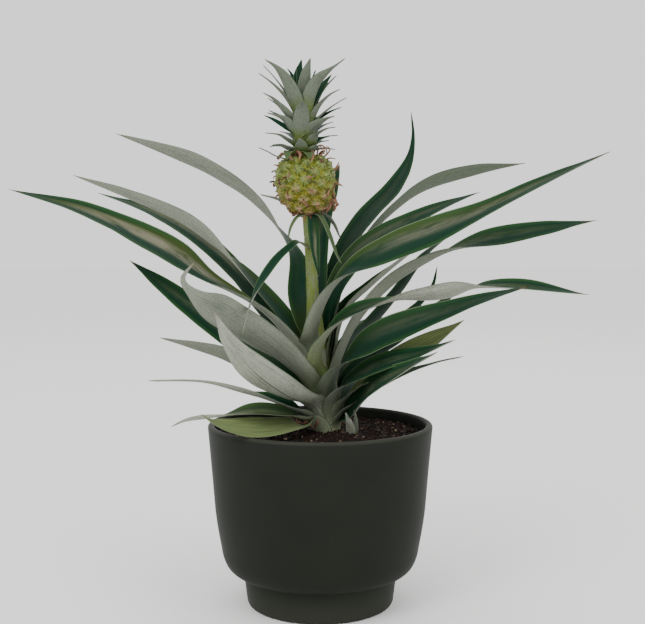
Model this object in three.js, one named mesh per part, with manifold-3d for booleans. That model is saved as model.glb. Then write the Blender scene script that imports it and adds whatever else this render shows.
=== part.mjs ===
// A young ornamental pineapple plant in a footed ceramic pot.
// Millimetres, +Z up. The origin is the centre of the pot's foot, on the surface it stands on.
import * as THREE from "three";
import { mergeVertices } from "three/addons/utils/BufferGeometryUtils.js";
import Module from "manifold-3d";

const wasm = await Module();
wasm.setup();

const GAP = 0.3; // air between neighbouring solids
const GOLDEN_ANGLE = Math.PI * (3 - Math.sqrt(5)); // turn from one leaf or eye to the next

const POT = {
  height: 113,
  rimRadius: 70,
  side: [[65.3, 57], [67, 76], [68.6, 95]], // outer radius and height up the leaning wall
  shoulderRadius: 62.3, // where the leaning wall starts to round in
  shoulderHeight: 38,
  creaseRadius: 47.2, // where the bowl meets the foot
  footHeight: 20,
  footRadius: 45.6,
  footEdge: 2,
  wall: 4.4,
  floor: 7,
  sides: 40,
};

const SOIL = {
  top: 106,
  mound: 3, // rise round the stem
  crumbs: 0.9,
  clearance: 0.6, // to the pot's wall
  rings: 7,
  sides: 32,
  holeRadius: 9.8,
  holeFloor: 86,
};

const STALK = {
  // The centre line of the stem and of the fruit's stalk, from inside the soil to under the fruit.
  path: [
    [4, 0, 88],
    [3, 0, 112],
    [1, 0, 135],
    [-2, 0, 160],
    [-4.4, 0, 188],
    [-5.6, 0, 214],
    [-6.8, 0, 242.6],
  ],
  radii: [8.4, 8.8, 8.2, 6.2, 4, 3.7, 4.2], // evenly spaced along the path
  sides: 10,
  steps: 17,
};

const FRUIT = {
  base: [-7.3, 0, 242],
  top: [-10.6, 0, 279],
  radius: 17.2,
  eyes: 78,
  eyeRadius: 4.2,
  relief: 1.5, // how far an eye's middle stands out
  sides: 36,
  rows: 20,
  spikes: 60,
  spikeLength: 4.2,
};

// A stray leaf tip that stands out from low on the fruit's side.
const FRUIT_BRACT = {
  rib: [[-18, 1, 248], [-27, 0, 252], [-37, -1, 254.5]],
  width: [4, 3.4, 1],
  roll: [20, 20],
  cup: [25, 15],
};

const CROWN = {
  base: [-10.9, 0, 279.6],
  top: [-10.6, 0, 312],
  coreRadius: 6.4,
  leaves: 30,
  thickness: 0.7,
  phase: 1.9, // angle of the lowest leaf
  // Evenly spaced from the lowest leaf to the innermost one.
  lengths: [19, 23, 28, 33, 39, 42, 33],
  widths: [10, 11, 12, 12.5, 12, 10, 7],
  leans: [84, 72, 58, 46, 37, 30, 5],
};

// Facets across and along a blade.
const LEAF = { thickness: 0.8, columns: 4, slimColumns: 2, stations: 11, bractStations: 8 };

// ---------- shared tools ----------

// A seeded draw between 0 and 1, the same on every run.
function seededDraw(seed) {
  let state = seed;
  return () => {
    state = (state * 1664525 + 1013904223) % 4294967296;
    return state / 4294967296;
  };
}

// The value at t, from 0 to 1, of a smooth curve through evenly spaced values.
function easedAt(values, t) {
  const last = values.length - 1;
  const place = THREE.MathUtils.clamp(t, 0, 1) * last;
  const i = Math.min(Math.floor(place), last - 1);
  const w = place - i;
  const before = values[Math.max(i - 1, 0)];
  const after = values[Math.min(i + 2, last)];
  const slopeIn = (values[i + 1] - before) / 2;
  const slopeOut = (after - values[i]) / 2;
  const rise = values[i + 1] - values[i];
  return (
    values[i] + slopeIn * w + (3 * rise - 2 * slopeIn - slopeOut) * w * w +
    (slopeIn + slopeOut - 2 * rise) * w * w * w
  );
}

const curveThrough = (points) =>
  new THREE.CatmullRomCurve3(points.map((p) => new THREE.Vector3(...p)));

function meshGeometry(vertices, faces) {
  const geometry = new THREE.BufferGeometry();
  geometry.setAttribute("position", new THREE.Float32BufferAttribute(vertices, 3));
  geometry.setIndex(faces);
  return geometry;
}

function solidOf(geometry) {
  const bare = geometry.clone();
  bare.deleteAttribute("normal");
  bare.deleteAttribute("uv");
  const merged = mergeVertices(bare, 1e-4);
  const vertProperties = merged.attributes.position.array;
  const triVerts = new Uint32Array(merged.index.array);
  return new wasm.Manifold(new wasm.Mesh({ numProp: 3, vertProperties, triVerts }));
}

function geometryOf(solid) {
  const mesh = solid.getMesh();
  return meshGeometry(Array.from(mesh.vertProperties), Array.from(mesh.triVerts));
}

// What is left of a solid after a cut, without the loose scraps.
function largestBody(solid) {
  const bodies = solid.decompose();
  return bodies.reduce((most, body) => (body.volume() > most.volume() ? body : most));
}

// A closed surface of rings, each a list of points, with a point at either end.
function ringedGeometry(start, rings, end) {
  const count = rings[0].length;
  const points = [start, ...rings.flat(), end];
  const faces = [];
  const at = (ring, k) => 1 + ring * count + (k % count);
  for (let k = 0; k < count; k++) {
    faces.push(0, at(0, k + 1), at(0, k));
    faces.push(points.length - 1, at(rings.length - 1, k), at(rings.length - 1, k + 1));
    for (let r = 0; r < rings.length - 1; r++) {
      faces.push(at(r, k), at(r, k + 1), at(r + 1, k + 1));
      faces.push(at(r, k), at(r + 1, k + 1), at(r + 1, k));
    }
  }
  return meshGeometry(points.flatMap((p) => [p.x, p.y, p.z]), faces);
}

// ---------- leaf blade ----------

// A channelled blade swept along its rib. width, roll and cup are evenly spaced from root to tip:
// roll turns the blade about its rib, in degrees, and cup is half the angle of its arched section.
// extra widens and thickens the blade on every side, to cut a neighbour clear of it.
function bladeGeometry({ rib, width, roll, cup }, columns, stations, thickness, extra = 0) {
  const curve = curveThrough(rib);
  const aim = curve.getPointAt(0.6).sub(curve.getPointAt(0));
  const across = new THREE.Vector3(-aim.y, aim.x, 0).normalize();
  const half = thickness / 2 + extra;
  const vertices = [];
  for (let i = 0; i < stations; i++) {
    const t = i / (stations - 1);
    const centre = curve.getPointAt(t);
    const along = curve.getTangentAt(t);
    const side = across.clone().addScaledVector(along, -across.dot(along)).normalize();
    const up = along.clone().cross(side);
    const turn = THREE.MathUtils.degToRad(easedAt(roll, t));
    side.applyAxisAngle(along, turn);
    up.applyAxisAngle(along, turn);
    const spread = Math.max(easedAt(width, t), 0.8) / 2 + extra;
    const bend = THREE.MathUtils.degToRad(Math.max(easedAt(cup, t), 2));
    const radius = spread / bend;
    for (let j = 0; j <= columns; j++) {
      const angle = bend * ((2 * j) / columns - 1);
      const point = centre.clone()
        .addScaledVector(side, radius * Math.sin(angle))
        .addScaledVector(up, radius * (1 - Math.cos(angle)));
      const normal = up.clone().multiplyScalar(Math.cos(angle))
        .addScaledVector(side, -Math.sin(angle));
      const top = point.clone().addScaledVector(normal, half);
      const bottom = point.clone().addScaledVector(normal, -half);
      vertices.push(...top.toArray(), ...bottom.toArray());
    }
  }
  const at = (i, j, face) => 2 * (i * (columns + 1) + j) + face;
  const faces = [];
  const quad = (a, b, c, d) => faces.push(a, b, c, a, c, d);
  for (let i = 0; i < stations - 1; i++) {
    for (let j = 0; j < columns; j++) {
      quad(at(i, j, 0), at(i + 1, j, 0), at(i + 1, j + 1, 0), at(i, j + 1, 0));
      faces.push(at(i, j, 1), at(i + 1, j + 1, 1), at(i + 1, j, 1));
      faces.push(at(i, j, 1), at(i, j + 1, 1), at(i + 1, j + 1, 1));
    }
    quad(at(i, 0, 0), at(i, 0, 1), at(i + 1, 0, 1), at(i + 1, 0, 0));
    quad(at(i, columns, 0), at(i + 1, columns, 0), at(i + 1, columns, 1), at(i, columns, 1));
  }
  const end = stations - 1;
  for (let j = 0; j < columns; j++) {
    quad(at(0, j, 0), at(0, j + 1, 0), at(0, j + 1, 1), at(0, j, 1));
    quad(at(end, j, 0), at(end, j, 1), at(end, j + 1, 1), at(end, j + 1, 0));
  }
  return meshGeometry(vertices, faces);
}

// ---------- pot ----------

function potGeometry() {
  const { height, rimRadius, wall, floor, footRadius, footEdge, footHeight } = POT;
  const lip = wall / 2;
  const outer = [
    [footRadius - footEdge, 0],
    [footRadius - footEdge * 0.3, footEdge * 0.3],
    [footRadius, footEdge],
    [POT.creaseRadius, footHeight],
    [POT.creaseRadius + 6.5, footHeight + 1.1],
    [POT.shoulderRadius - 4.2, footHeight + 4.6],
    [POT.shoulderRadius - 1.7, footHeight + 10],
    [POT.shoulderRadius, POT.shoulderHeight],
    ...POT.side,
    [rimRadius, height - lip],
  ];
  const rim = [
    [rimRadius - lip * 0.3, height - lip * 0.3],
    [rimRadius - lip, height],
    [rimRadius - lip * 1.7, height - lip * 0.3],
  ];
  const inner = [
    [footRadius - wall - 6, floor],
    [footRadius - wall - 1, floor + 6],
    [POT.creaseRadius - 3.2, footHeight + 4],
    [POT.shoulderRadius - wall - 2, POT.shoulderHeight - 2],
    [POT.side[0][0] - wall, POT.side[0][1]],
    [POT.side[2][0] - wall, POT.side[2][1]],
    [rimRadius - wall, height - lip],
  ];
  const points = [[0, 0], ...outer, ...rim, ...inner.reverse(), [0, floor]];
  const profile = points.map(([x, z]) => new THREE.Vector2(x, z));
  return new THREE.LatheGeometry(profile, POT.sides).rotateX(Math.PI / 2);
}

// ---------- soil ----------

const soilHeight = (x, y) => {
  const reach = Math.hypot(x, y) / POT.rimRadius;
  const waves = Math.sin(0.23 * x + 1) * Math.cos(0.19 * y) + Math.sin(0.41 * (x - y));
  return SOIL.top + SOIL.mound * Math.exp(-6 * reach * reach) + SOIL.crumbs * 0.5 * waves;
};

// The soil fills the pot's inside, a little clear of its wall, with a plain hole for the stem.
function soilSolid() {
  const { clearance, rings, sides, holeRadius, holeFloor } = SOIL;
  const [sideRadius, sideHeight] = POT.side[2];
  const footInside = POT.footRadius - POT.wall - GAP;
  const wallAt = [
    [footInside - 7, POT.floor + GAP],
    [footInside - 1.2, POT.floor + 6.4],
    [POT.creaseRadius - 4.2, POT.footHeight + 4.8],
    [POT.shoulderRadius - POT.wall - 2.8, POT.shoulderHeight - 1.2],
    [sideRadius - POT.wall - clearance, sideHeight],
  ];
  const ringOf = (radius, zAt) =>
    Array.from({ length: sides }, (_, k) => {
      const angle = (2 * Math.PI * k) / sides;
      const x = radius * Math.cos(angle);
      const y = radius * Math.sin(angle);
      return new THREE.Vector3(x, y, zAt(x, y));
    });
  const edge = sideRadius - POT.wall - GAP;
  const walls = wallAt.map(([radius, z]) => ringOf(radius, () => z));
  const tops = Array.from({ length: rings }, (_, r) =>
    ringOf((edge * (rings - r)) / rings, soilHeight));
  const bottom = new THREE.Vector3(0, 0, POT.floor + GAP);
  const peak = new THREE.Vector3(0, 0, soilHeight(0, 0));
  const body = solidOf(ringedGeometry(bottom, [...walls, ...tops], peak));
  const holeDepth = SOIL.top + 20 - holeFloor;
  const hole = new THREE.CylinderGeometry(holeRadius, holeRadius, holeDepth, 16).rotateX(Math.PI / 2);
  hole.translate(STALK.path[0][0] - 0.6, 0, holeFloor + holeDepth / 2);
  return body.subtract(solidOf(hole));
}

// ---------- stem and stalk ----------

function stalkGeometry(extra = 0) {
  const curve = curveThrough(STALK.path);
  const across = new THREE.Vector3(0, 1, 0);
  const rings = Array.from({ length: STALK.steps + 1 }, (_, i) => {
    const t = i / STALK.steps;
    const centre = curve.getPointAt(t);
    const other = across.clone().cross(curve.getTangentAt(t)).normalize();
    const radius = easedAt(STALK.radii, t) + extra;
    return Array.from({ length: STALK.sides }, (_, k) => {
      const angle = (2 * Math.PI * k) / STALK.sides;
      return centre.clone()
        .addScaledVector(other, radius * Math.cos(angle))
        .addScaledVector(across, radius * Math.sin(angle));
    });
  });
  return ringedGeometry(curve.getPointAt(0), rings, curve.getPointAt(1));
}

// The stalk ends just under the fruit that it carries.
function stalkSolid(fruit) {
  const whole = solidOf(stalkGeometry());
  return largestBody(whole.subtract(fruit).subtract(fruit.translate([0, 0, -GAP])));
}

// ---------- fruit ----------

const fruitAxis = new THREE.Vector3(...FRUIT.top).sub(new THREE.Vector3(...FRUIT.base));
const fruitHeight = fruitAxis.length();
const fruitFrame = new THREE.Matrix4()
  .makeRotationFromQuaternion(new THREE.Quaternion().setFromUnitVectors(
    new THREE.Vector3(0, 0, 1), fruitAxis.clone().normalize()))
  .setPosition(...FRUIT.base);

// The barrel's radius at a share of its height.
const barrelRadius = (share) => {
  const squareness = share > 0.5 ? 3.8 : 2.6;
  return FRUIT.radius * Math.sqrt(Math.max(1 - Math.abs(2 * share - 1) ** squareness, 0));
};

// A point on the barrel, before its eyes are raised.
function barrelPoint(share, angle, lift = 0) {
  const radius = barrelRadius(share) + lift * Math.sqrt(Math.max(1 - (2 * share - 1) ** 4, 0));
  const z = share * fruitHeight + lift * (2 * share - 1) * 0.6;
  return new THREE.Vector3(radius * Math.cos(angle), radius * Math.sin(angle), z);
}

// The eyes follow one spiral, each a golden angle on from the last.
const eyeCentres = Array.from({ length: FRUIT.eyes }, (_, k) => {
  const share = 0.02 + (0.96 * (k + 0.5)) / FRUIT.eyes;
  return { share, angle: k * GOLDEN_ANGLE, point: barrelPoint(share, k * GOLDEN_ANGLE) };
});

// Each eye is a low dome.
function eyeLift(point) {
  const distances = eyeCentres.map((eye) => eye.point.distanceTo(point));
  const nearest = Math.min(...distances);
  return FRUIT.relief * Math.max(1 - (nearest / FRUIT.eyeRadius) ** 2, 0);
}

// A dry bract tip: a slim four-sided spike that leans up from the lower edge of its eye.
function spikeGeometry({ share, angle }, length) {
  const root = barrelPoint(share - 0.015, angle, -0.8);
  const out = new THREE.Vector3(Math.cos(angle), Math.sin(angle), 0);
  const tip = barrelPoint(share, angle, FRUIT.relief).addScaledVector(out, length * 0.55);
  tip.z += length * 0.8;
  const geometry = new THREE.ConeGeometry(1.15, tip.distanceTo(root), 4, 1);
  geometry.translate(0, tip.distanceTo(root) / 2, 0);
  const lean = new THREE.Quaternion().setFromUnitVectors(
    new THREE.Vector3(0, 1, 0), tip.clone().sub(root).normalize());
  return geometry.applyQuaternion(lean).translate(...root.toArray());
}

function fruitSolid() {
  const rings = [];
  for (let r = 1; r < FRUIT.rows; r++) {
    const share = (1 - Math.cos((Math.PI * r) / FRUIT.rows)) / 2;
    rings.push(Array.from({ length: FRUIT.sides }, (_, k) => {
      const angle = (2 * Math.PI * (k + (r % 2) / 2)) / FRUIT.sides;
      return barrelPoint(share, angle, eyeLift(barrelPoint(share, angle)));
    }));
  }
  const ends = [new THREE.Vector3(0, 0, 0), new THREE.Vector3(0, 0, fruitHeight)];
  let solid = solidOf(ringedGeometry(ends[0], rings, ends[1]));
  const draw = seededDraw(11);
  const skipped = Math.floor((FRUIT.eyes - FRUIT.spikes) / 2);
  for (const eye of eyeCentres.slice(skipped, skipped + FRUIT.spikes)) {
    solid = solid.add(solidOf(spikeGeometry(eye, FRUIT.spikeLength * (0.6 + 0.8 * draw()))));
  }
  solid = solidOf(geometryOf(solid).applyMatrix4(fruitFrame));
  return largestBody(solid.add(solidOf(bladeGeometry(FRUIT_BRACT, 2, 5, LEAF.thickness))));
}

// ---------- crown ----------

// Crown leaf i of n: low ones short and spreading, high ones long, the last few short and upright.
function crownLeaf(i, n, draw) {
  const share = i / (n - 1);
  const angle = CROWN.phase + i * GOLDEN_ANGLE;
  const out = new THREE.Vector3(Math.cos(angle), Math.sin(angle), 0);
  const foot = new THREE.Vector3(...CROWN.base);
  const base = foot.lerp(new THREE.Vector3(...CROWN.top), 0.72 * share);
  const length = easedAt(CROWN.lengths, share) * (0.92 + 0.16 * draw());
  const lean = THREE.MathUtils.degToRad(easedAt(CROWN.leans, share));
  base.z -= 1.6 * (1 - share);
  const rib = [base.addScaledVector(out, 2.5)];
  for (let step = 1; step <= 4; step++) {
    const tilt = lean * (0.75 + 0.1 * step + 0.15 * share * (step - 2));
    const next = rib[step - 1].clone().addScaledVector(out, (length / 4) * Math.sin(tilt));
    next.z += (length / 4) * Math.cos(tilt);
    rib.push(next);
  }
  const wide = easedAt(CROWN.widths, share);
  return {
    rib: rib.map((p) => p.toArray()),
    width: [wide * 0.66, wide, wide * 0.74, wide * 0.36, 0.9],
    roll: [0, 12 * (draw() - 0.5)],
    cup: [52, 36, 26],
  };
}

// The lowest leaves lie just clear of the fruit under them.
function crownSolid(fruit) {
  const { base, top, coreRadius, leaves, thickness } = CROWN;
  const height = top[2] - base[2];
  const core = new THREE.CylinderGeometry(2, coreRadius, height, 10, 1).rotateX(Math.PI / 2);
  core.translate((base[0] + top[0]) / 2, 0, (base[2] + top[2]) / 2);
  let solid = solidOf(core);
  const draw = seededDraw(5);
  for (let i = 0; i < leaves; i++) {
    solid = solid.add(solidOf(bladeGeometry(crownLeaf(i, leaves, draw), 2, 4, thickness)));
  }
  solid = solid.subtract(fruit).subtract(fruit.translate([0, 0, GAP]));
  return largestBody(solid);
}

// ---------- leaves ----------

// Each leaf's rib runs from the stem to the tip. Slim leaves get fewer facets.
const LEAVES = {
  leaf_right_high: {
    rib: [[-5, -8, 154], [0, -12, 182], [14, -15, 204], [42, -20, 220], [71, -26, 232],
      [98, -34, 244], [123, -44, 257], [144, -54, 267], [161, -62, 275]],
    width: [19, 20, 23, 22, 16, 11, 1.5],
    roll: [-20, -5, 45, 58, 40, 32, 25],
    cup: [60, 42, 32, 30, 28, 24, 15],
  },
  leaf_left_high: {
    rib: [[-8, -1, 144], [-25, -5, 167], [-43, -8, 186], [-68, -11, 201], [-104, -16, 225],
      [-143, -21, 244], [-185, -26, 256]],
    width: [19, 19, 20, 21, 19, 12, 1.5],
    roll: [10, 25, 5, -40, -42, -32, -20],
    cup: [60, 40, 32, 30, 28, 24, 15],
  },
  leaf_left_front: {
    rib: [[-4, -8, 132], [-18, -23, 151], [-37, -41, 168], [-59, -53, 181], [-72, -60, 190],
      [-77, -62, 203], [-70, -60, 214]],
    width: [19, 20, 21, 22, 20, 7, 1.5],
    roll: [10, 15, 30, 42, 45, 30, 20],
    cup: [60, 40, 30, 26, 24, 30, 15],
  },
  leaf_front_silver: {
    rib: [[-2, -9, 122], [-18, -29, 133], [-36, -49, 149], [-50, -65, 168], [-58, -75, 187]],
    width: [17, 22, 25, 22, 13, 1.5],
    roll: [0, 10, 22, 25, 15, 0],
    cup: [60, 38, 30, 26, 22, 15],
  },
  leaf_left_middle: {
    rib: [[-9, 2, 154], [-22, 5, 176], [-37, 9, 193], [-56, 14, 212], [-85, 24, 237],
      [-123, 34, 254], [-164, 45, 270]],
    width: [18, 18, 18, 18, 16, 11, 1.5],
    roll: [-10, -12, -18, 10, 38, 38, 30],
    cup: [60, 38, 30, 28, 26, 22, 15],
  },
  leaf_left_back: {
    rib: [[-6, 6, 160], [-10, 14, 190], [-13, 27, 213], [-27, 43, 236], [-49, 61, 258],
      [-84, 80, 280], [-117, 94, 293], [-147, 105, 304]],
    width: [16, 15, 15, 17, 17, 15, 10, 1.5],
    roll: [0, 5, 15, 38, 55, 60, 55, 45],
    cup: [60, 40, 30, 26, 26, 24, 22, 15],
  },
  leaf_left_behind: {
    rib: [[-7, 5, 148], [-25, 9, 168], [-38, 14, 183], [-52, 24, 201], [-80, 41, 225],
      [-115, 63, 244], [-156, 85, 260]],
    width: [17, 16, 17, 17, 15, 10, 1.5],
    roll: [-5, -15, -20, -25, -25, -20, -10],
    cup: [60, 38, 30, 28, 26, 22, 15],
  },
  leaf_left_low: {
    rib: [[-8, -2, 128], [-24, -6, 144], [-50, -9, 163], [-80, -10, 186], [-106, -8, 206],
      [-117, -6, 214]],
    width: [18, 18, 18, 18, 16, 11, 1.5],
    roll: [-20, -45, -55, -58, -55, -50, -40],
    cup: [60, 38, 30, 28, 26, 22, 15],
  },
  leaf_right_front: {
    rib: [[-1, -10, 138], [1, -18, 162], [15, -25, 180], [40, -34, 190], [65, -43, 194],
      [89, -53, 199], [112, -63, 200], [147, -76, 196]],
    width: [18, 18, 19, 18, 17, 15, 11, 1.5],
    roll: [0, 5, 20, 28, 10, -40, -50, 15, 28, 25, 15],
    cup: [60, 38, 30, 28, 26, 24, 22, 15],
  },
  leaf_right_wide: {
    rib: [[5, -9, 126], [9, -19, 145], [20, -28, 158], [36, -39, 170], [53, -49, 178],
      [70, -59, 185], [87, -69, 192], [112, -84, 201]],
    width: [19, 20, 22, 23, 19, 12, 1.5],
    roll: [-10, 15, 55, 60, 50, 40, 25],
    cup: [60, 40, 30, 28, 26, 22, 15],
  },
  leaf_right_middle: {
    rib: [[8, -3, 134], [14, -7, 158], [25, -8, 181], [45, -8, 202], [70, -8, 216],
      [97, -6, 225], [125, -3, 231], [172, 2, 239]],
    width: [17, 16, 17, 18, 19, 14, 1.5],
    roll: [-20, -20, -15, 0, 40, 45, 30],
    cup: [60, 38, 30, 28, 26, 22, 15],
  },
  leaf_right_upright: {
    rib: [[2, 6, 160], [4, 14, 189], [10, 23, 206], [19, 36, 225], [32, 50, 243],
      [49, 64, 261], [62, 79, 284], [65, 88, 302], [64, 95, 318]],
    width: [16, 15, 15, 15, 14, 12, 4, 1.2],
    roll: [0, 0, 0, 5, 8, 8, 0],
    cup: [60, 38, 30, 28, 26, 22, 15],
  },
  leaf_right_back: {
    rib: [[5, 4, 152], [10, 12, 184], [17, 22, 205], [30, 36, 227], [49, 50, 247],
      [71, 64, 263], [99, 77, 273], [145, 95, 282]],
    width: [16, 15, 15, 16, 17, 12, 1.5],
    roll: [0, 0, 0, -20, -45, -45, -30],
    cup: [60, 38, 30, 26, 24, 22, 15],
  },
  leaf_right_inner: {
    rib: [[5, 2, 156], [8, 6, 188], [14, 11, 203], [25, 16, 218], [41, 22, 230], [58, 29, 239],
      [77, 35, 248], [106, 46, 259]],
    width: [16, 16, 17, 17, 14, 9, 1.5],
    roll: [0, 10, 30, 38, 35, 25, 15],
    cup: [60, 38, 30, 28, 26, 22, 15],
  },
  leaf_centre_back: {
    rib: [[-3, 7, 160], [-2, 16, 190], [-2, 30, 218], [0, 46, 245], [5, 58, 266], [10, 65, 279]],
    width: [15, 14, 13, 13, 11, 7, 1.2],
    roll: [0, 0],
    cup: [60, 38, 30, 26, 15],
  },
  leaf_right_low: {
    rib: [[8, -8, 120], [12, -19, 135], [21, -27, 144], [39, -46, 155], [59, -63, 163],
      [75, -74, 171]],
    width: [16, 17, 17, 15, 10, 1.5],
    roll: [0, 30, 50, 50, 40, 25],
    cup: [60, 38, 30, 26, 15],
  },
  leaf_right_lowest: {
    rib: [[8, -9, 112], [17, -21, 122], [29, -39, 138], [45, -59, 152], [64, -80, 166]],
    width: [16, 17, 18, 16, 10, 1.5],
    roll: [0, 30, 50, 50, 40, 25],
    cup: [60, 38, 30, 26, 15],
  },
};

const SLIM_LEAVES = {
  leaf_right_pale: {
    rib: [[10, -6, 118], [24, -18, 138], [46, -33, 156], [68, -47, 170], [82, -56, 181]],
    width: [13, 14, 15, 13, 9, 1.5],
    roll: [0, 25, 35, 35, 25, 10],
    cup: [55, 36, 30, 24, 15],
  },
  leaf_right_thin: {
    rib: [[11, -3, 114], [26, -10, 130], [50, -17, 145], [70, -22, 153], [86, -26, 157]],
    width: [12, 12, 11, 6, 2.5, 1.2],
    roll: [0, 20, 30, 25, 10],
    cup: [55, 36, 30, 24, 15],
  },
  leaf_right_strip: {
    rib: [[8, 2, 146], [15, 10, 183], [32, 16, 200], [50, 24, 214], [70, 36, 229]],
    width: [14, 13, 12, 10, 7, 1.5],
    roll: [0, 5, 10, 10, 5],
    cup: [55, 36, 30, 24, 15],
  },
  leaf_right_dark: {
    rib: [[9, 4, 136], [15, 9, 158], [34, 25, 174], [52, 40, 194], [70, 52, 217], [87, 61, 230]],
    width: [15, 15, 14, 12, 9, 1.5],
    roll: [0, 0, 0, 0, 0],
    cup: [55, 36, 30, 24, 15],
  },
  leaf_right_hidden: {
    rib: [[10, 0, 125], [20, 4, 144], [48, 12, 163], [74, 20, 183], [95, 26, 199]],
    width: [15, 15, 15, 13, 8, 1.2],
    roll: [0, 10, 20, 20, 10],
    cup: [55, 36, 30, 24, 15],
  },
  leaf_right_spike: {
    rib: [[9, 5, 127], [24, 18, 147], [46, 35, 168], [66, 44, 185], [75, 47, 197], [78, 48, 210]],
    width: [14, 14, 14, 11, 5, 1.2],
    roll: [0, 5, 10, 10, 5],
    cup: [55, 36, 30, 24, 15],
  },
  leaf_left_narrow: {
    rib: [[-7, -4, 121], [-30, -12, 140], [-53, -18, 155], [-77, -22, 163], [-96, -25, 168]],
    width: [14, 14, 14, 12, 8, 1.2],
    roll: [10, 25, 45, 45, 30],
    cup: [55, 36, 30, 24, 15],
  },
  leaf_left_dry: {
    rib: [[-6, -5, 114], [-22, -10, 125], [-45, -14, 133], [-71, -13, 140], [-106, -8, 140]],
    width: [14, 14, 13, 6, 2, 1.3, 1.2],
    roll: [-10, -25, -15, 0],
    cup: [55, 36, 30, 24, 15],
  },
  leaf_left_arched: {
    rib: [[-4, -8, 111], [-14, -17, 119], [-35, -34, 125], [-56, -49, 125], [-76, -59, 124],
      [-84, -63, 121]],
    width: [14, 17, 17, 12, 4, 2, 1.2],
    roll: [0, -15, -20, -15, 0],
    cup: [55, 34, 28, 24, 15],
  },
  leaf_rim: {
    rib: [[-2, -10, 110], [-14, -20, 114], [-30, -35, 115], [-47, -51, 117.5], [-60, -62, 123],
      [-67, -66, 129]],
    width: [13, 15, 17, 17, 12, 1.5],
    roll: [0, -12, -22, -25, -15],
    cup: [50, 30, 22, 18, 15],
  },
  leaf_stub_green: {
    rib: [[11, -3, 110], [20, -8, 111], [24, -11, 115], [29, -14, 123]],
    width: [9, 9, 8, 5, 1.2],
    roll: [0, 20],
    cup: [40, 30, 20],
  },
  leaf_stub_pale: {
    rib: [[9, -8, 110], [15, -13, 111], [17.5, -15, 115], [14, -16, 122]],
    width: [7, 8, 7, 4, 1.2],
    roll: [0, 10],
    cup: [40, 30, 20],
  },
  leaf_back_left: {
    rib: [[-6, 8, 138], [-14, 27, 159], [-28, 54, 175], [-40, 76, 178], [-50, 94, 173]],
    width: [16, 17, 17, 15, 10, 1.5],
    roll: [0, 0],
    cup: [55, 36, 30, 24, 15],
  },
  leaf_back: {
    rib: [[-2, 10, 126], [-7, 34, 154], [-12, 66, 172], [-17, 94, 174], [-21, 118, 166]],
    width: [16, 17, 17, 15, 10, 1.5],
    roll: [0, 0],
    cup: [55, 36, 30, 24, 15],
  },
  leaf_back_inner: {
    rib: [[1, 8, 146], [1, 30, 170], [1, 62, 184], [0, 92, 183], [0, 120, 172]],
    width: [16, 16, 16, 14, 9, 1.5],
    roll: [0, 0],
    cup: [55, 36, 30, 24, 15],
  },
  leaf_back_right: {
    rib: [[6, 8, 132], [16, 28, 154], [31, 55, 169], [43, 77, 173], [53, 96, 169]],
    width: [16, 17, 17, 15, 10, 1.5],
    roll: [0, 0],
    cup: [55, 36, 30, 24, 15],
  },
  leaf_back_right_low: {
    rib: [[6, 9, 112], [16, 30, 129], [29, 58, 138], [39, 82, 136], [46, 104, 127]],
    width: [15, 16, 16, 14, 9, 1.5],
    roll: [0, 0],
    cup: [55, 36, 30, 24, 15],
  },
  leaf_back_left_low: {
    rib: [[-3, 9, 113], [-12, 32, 131], [-24, 62, 140], [-33, 87, 138], [-39, 109, 129]],
    width: [15, 16, 16, 14, 9, 1.5],
    roll: [0, 0],
    cup: [55, 36, 30, 24, 15],
  },
  leaf_back_low: {
    rib: [[1, 10, 117], [0, 34, 140], [-1, 64, 153], [-3, 90, 154], [-4, 112, 148]],
    width: [15, 16, 16, 14, 9, 1.5],
    roll: [0, 0],
    cup: [55, 36, 30, 24, 15],
  },
};

const BRACTS = {
  bract_long: {
    rib: [[-7, -3, 221], [-16, -11, 226], [-26, -20, 221], [-34, -31, 208], [-40, -41, 195],
      [-43, -51, 183], [-44, -60, 172]],
    width: [6, 6, 6, 5.5, 5, 4, 1.2],
    roll: [0, 20, 30, 20],
    cup: [40, 30, 25, 20],
  },
  bract_left: {
    rib: [[-9, -3, 234], [-13, -9, 239], [-17, -12, 236], [-19, -14, 227]],
    width: [3.5, 3, 2, 1],
    roll: [0, 0],
    cup: [30, 20],
  },
  bract_right: {
    rib: [[-4, -4, 232], [0, -9, 237], [5, -12, 230], [12, -14, 215]],
    width: [4, 3.4, 2.4, 1],
    roll: [0, 0],
    cup: [30, 20],
  },
  bract_hanging: {
    rib: [[-8, -4, 232], [-7, -10, 235], [-5, -12, 226], [-3, -11, 214], [-1.5, -11, 204]],
    width: [6, 6, 5, 3, 1],
    roll: [0, 0],
    cup: [30, 30],
  },
  bract_grey: {
    rib: [[-3, 3, 231], [3, 7, 237], [8, 8, 235], [12.5, 7, 228]],
    width: [5, 5, 4, 1],
    roll: [0, -20],
    cup: [30, 20],
  },
};

// ---------- assembly ----------

const COLOURS = {
  pot: [0x2b2f2a, 0.55],
  soil: [0x2e1f1c, 0.95],
  stalk: [0x8c9a56, 0.6],
  fruit: [0x9aa032, 0.55],
  crown: [0x6f7f70, 0.6],
  leaf: [0x36533f, 0.5],
  bract: [0x6c8060, 0.6],
};

const plant = new THREE.Group();

function place(name, geometry, kind) {
  const [color, roughness] = COLOURS[kind];
  const material = new THREE.MeshStandardMaterial({ color, roughness, metalness: 0 });
  material.name = kind;
  const mesh = new THREE.Mesh(geometry, material);
  mesh.name = name;
  plant.add(mesh);
}

place("pot", potGeometry(), "pot");
place("soil", geometryOf(soilSolid()), "soil");
const fruit = fruitSolid();
place("fruit", geometryOf(fruit), "fruit");
place("crown", geometryOf(crownSolid(fruit)), "crown");
place("stalk", geometryOf(stalkSolid(fruit)), "stalk");

// A blade gives way to what is already placed: it is cut a gap clear of it.
const placed = [solidOf(stalkGeometry(GAP))];

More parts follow.
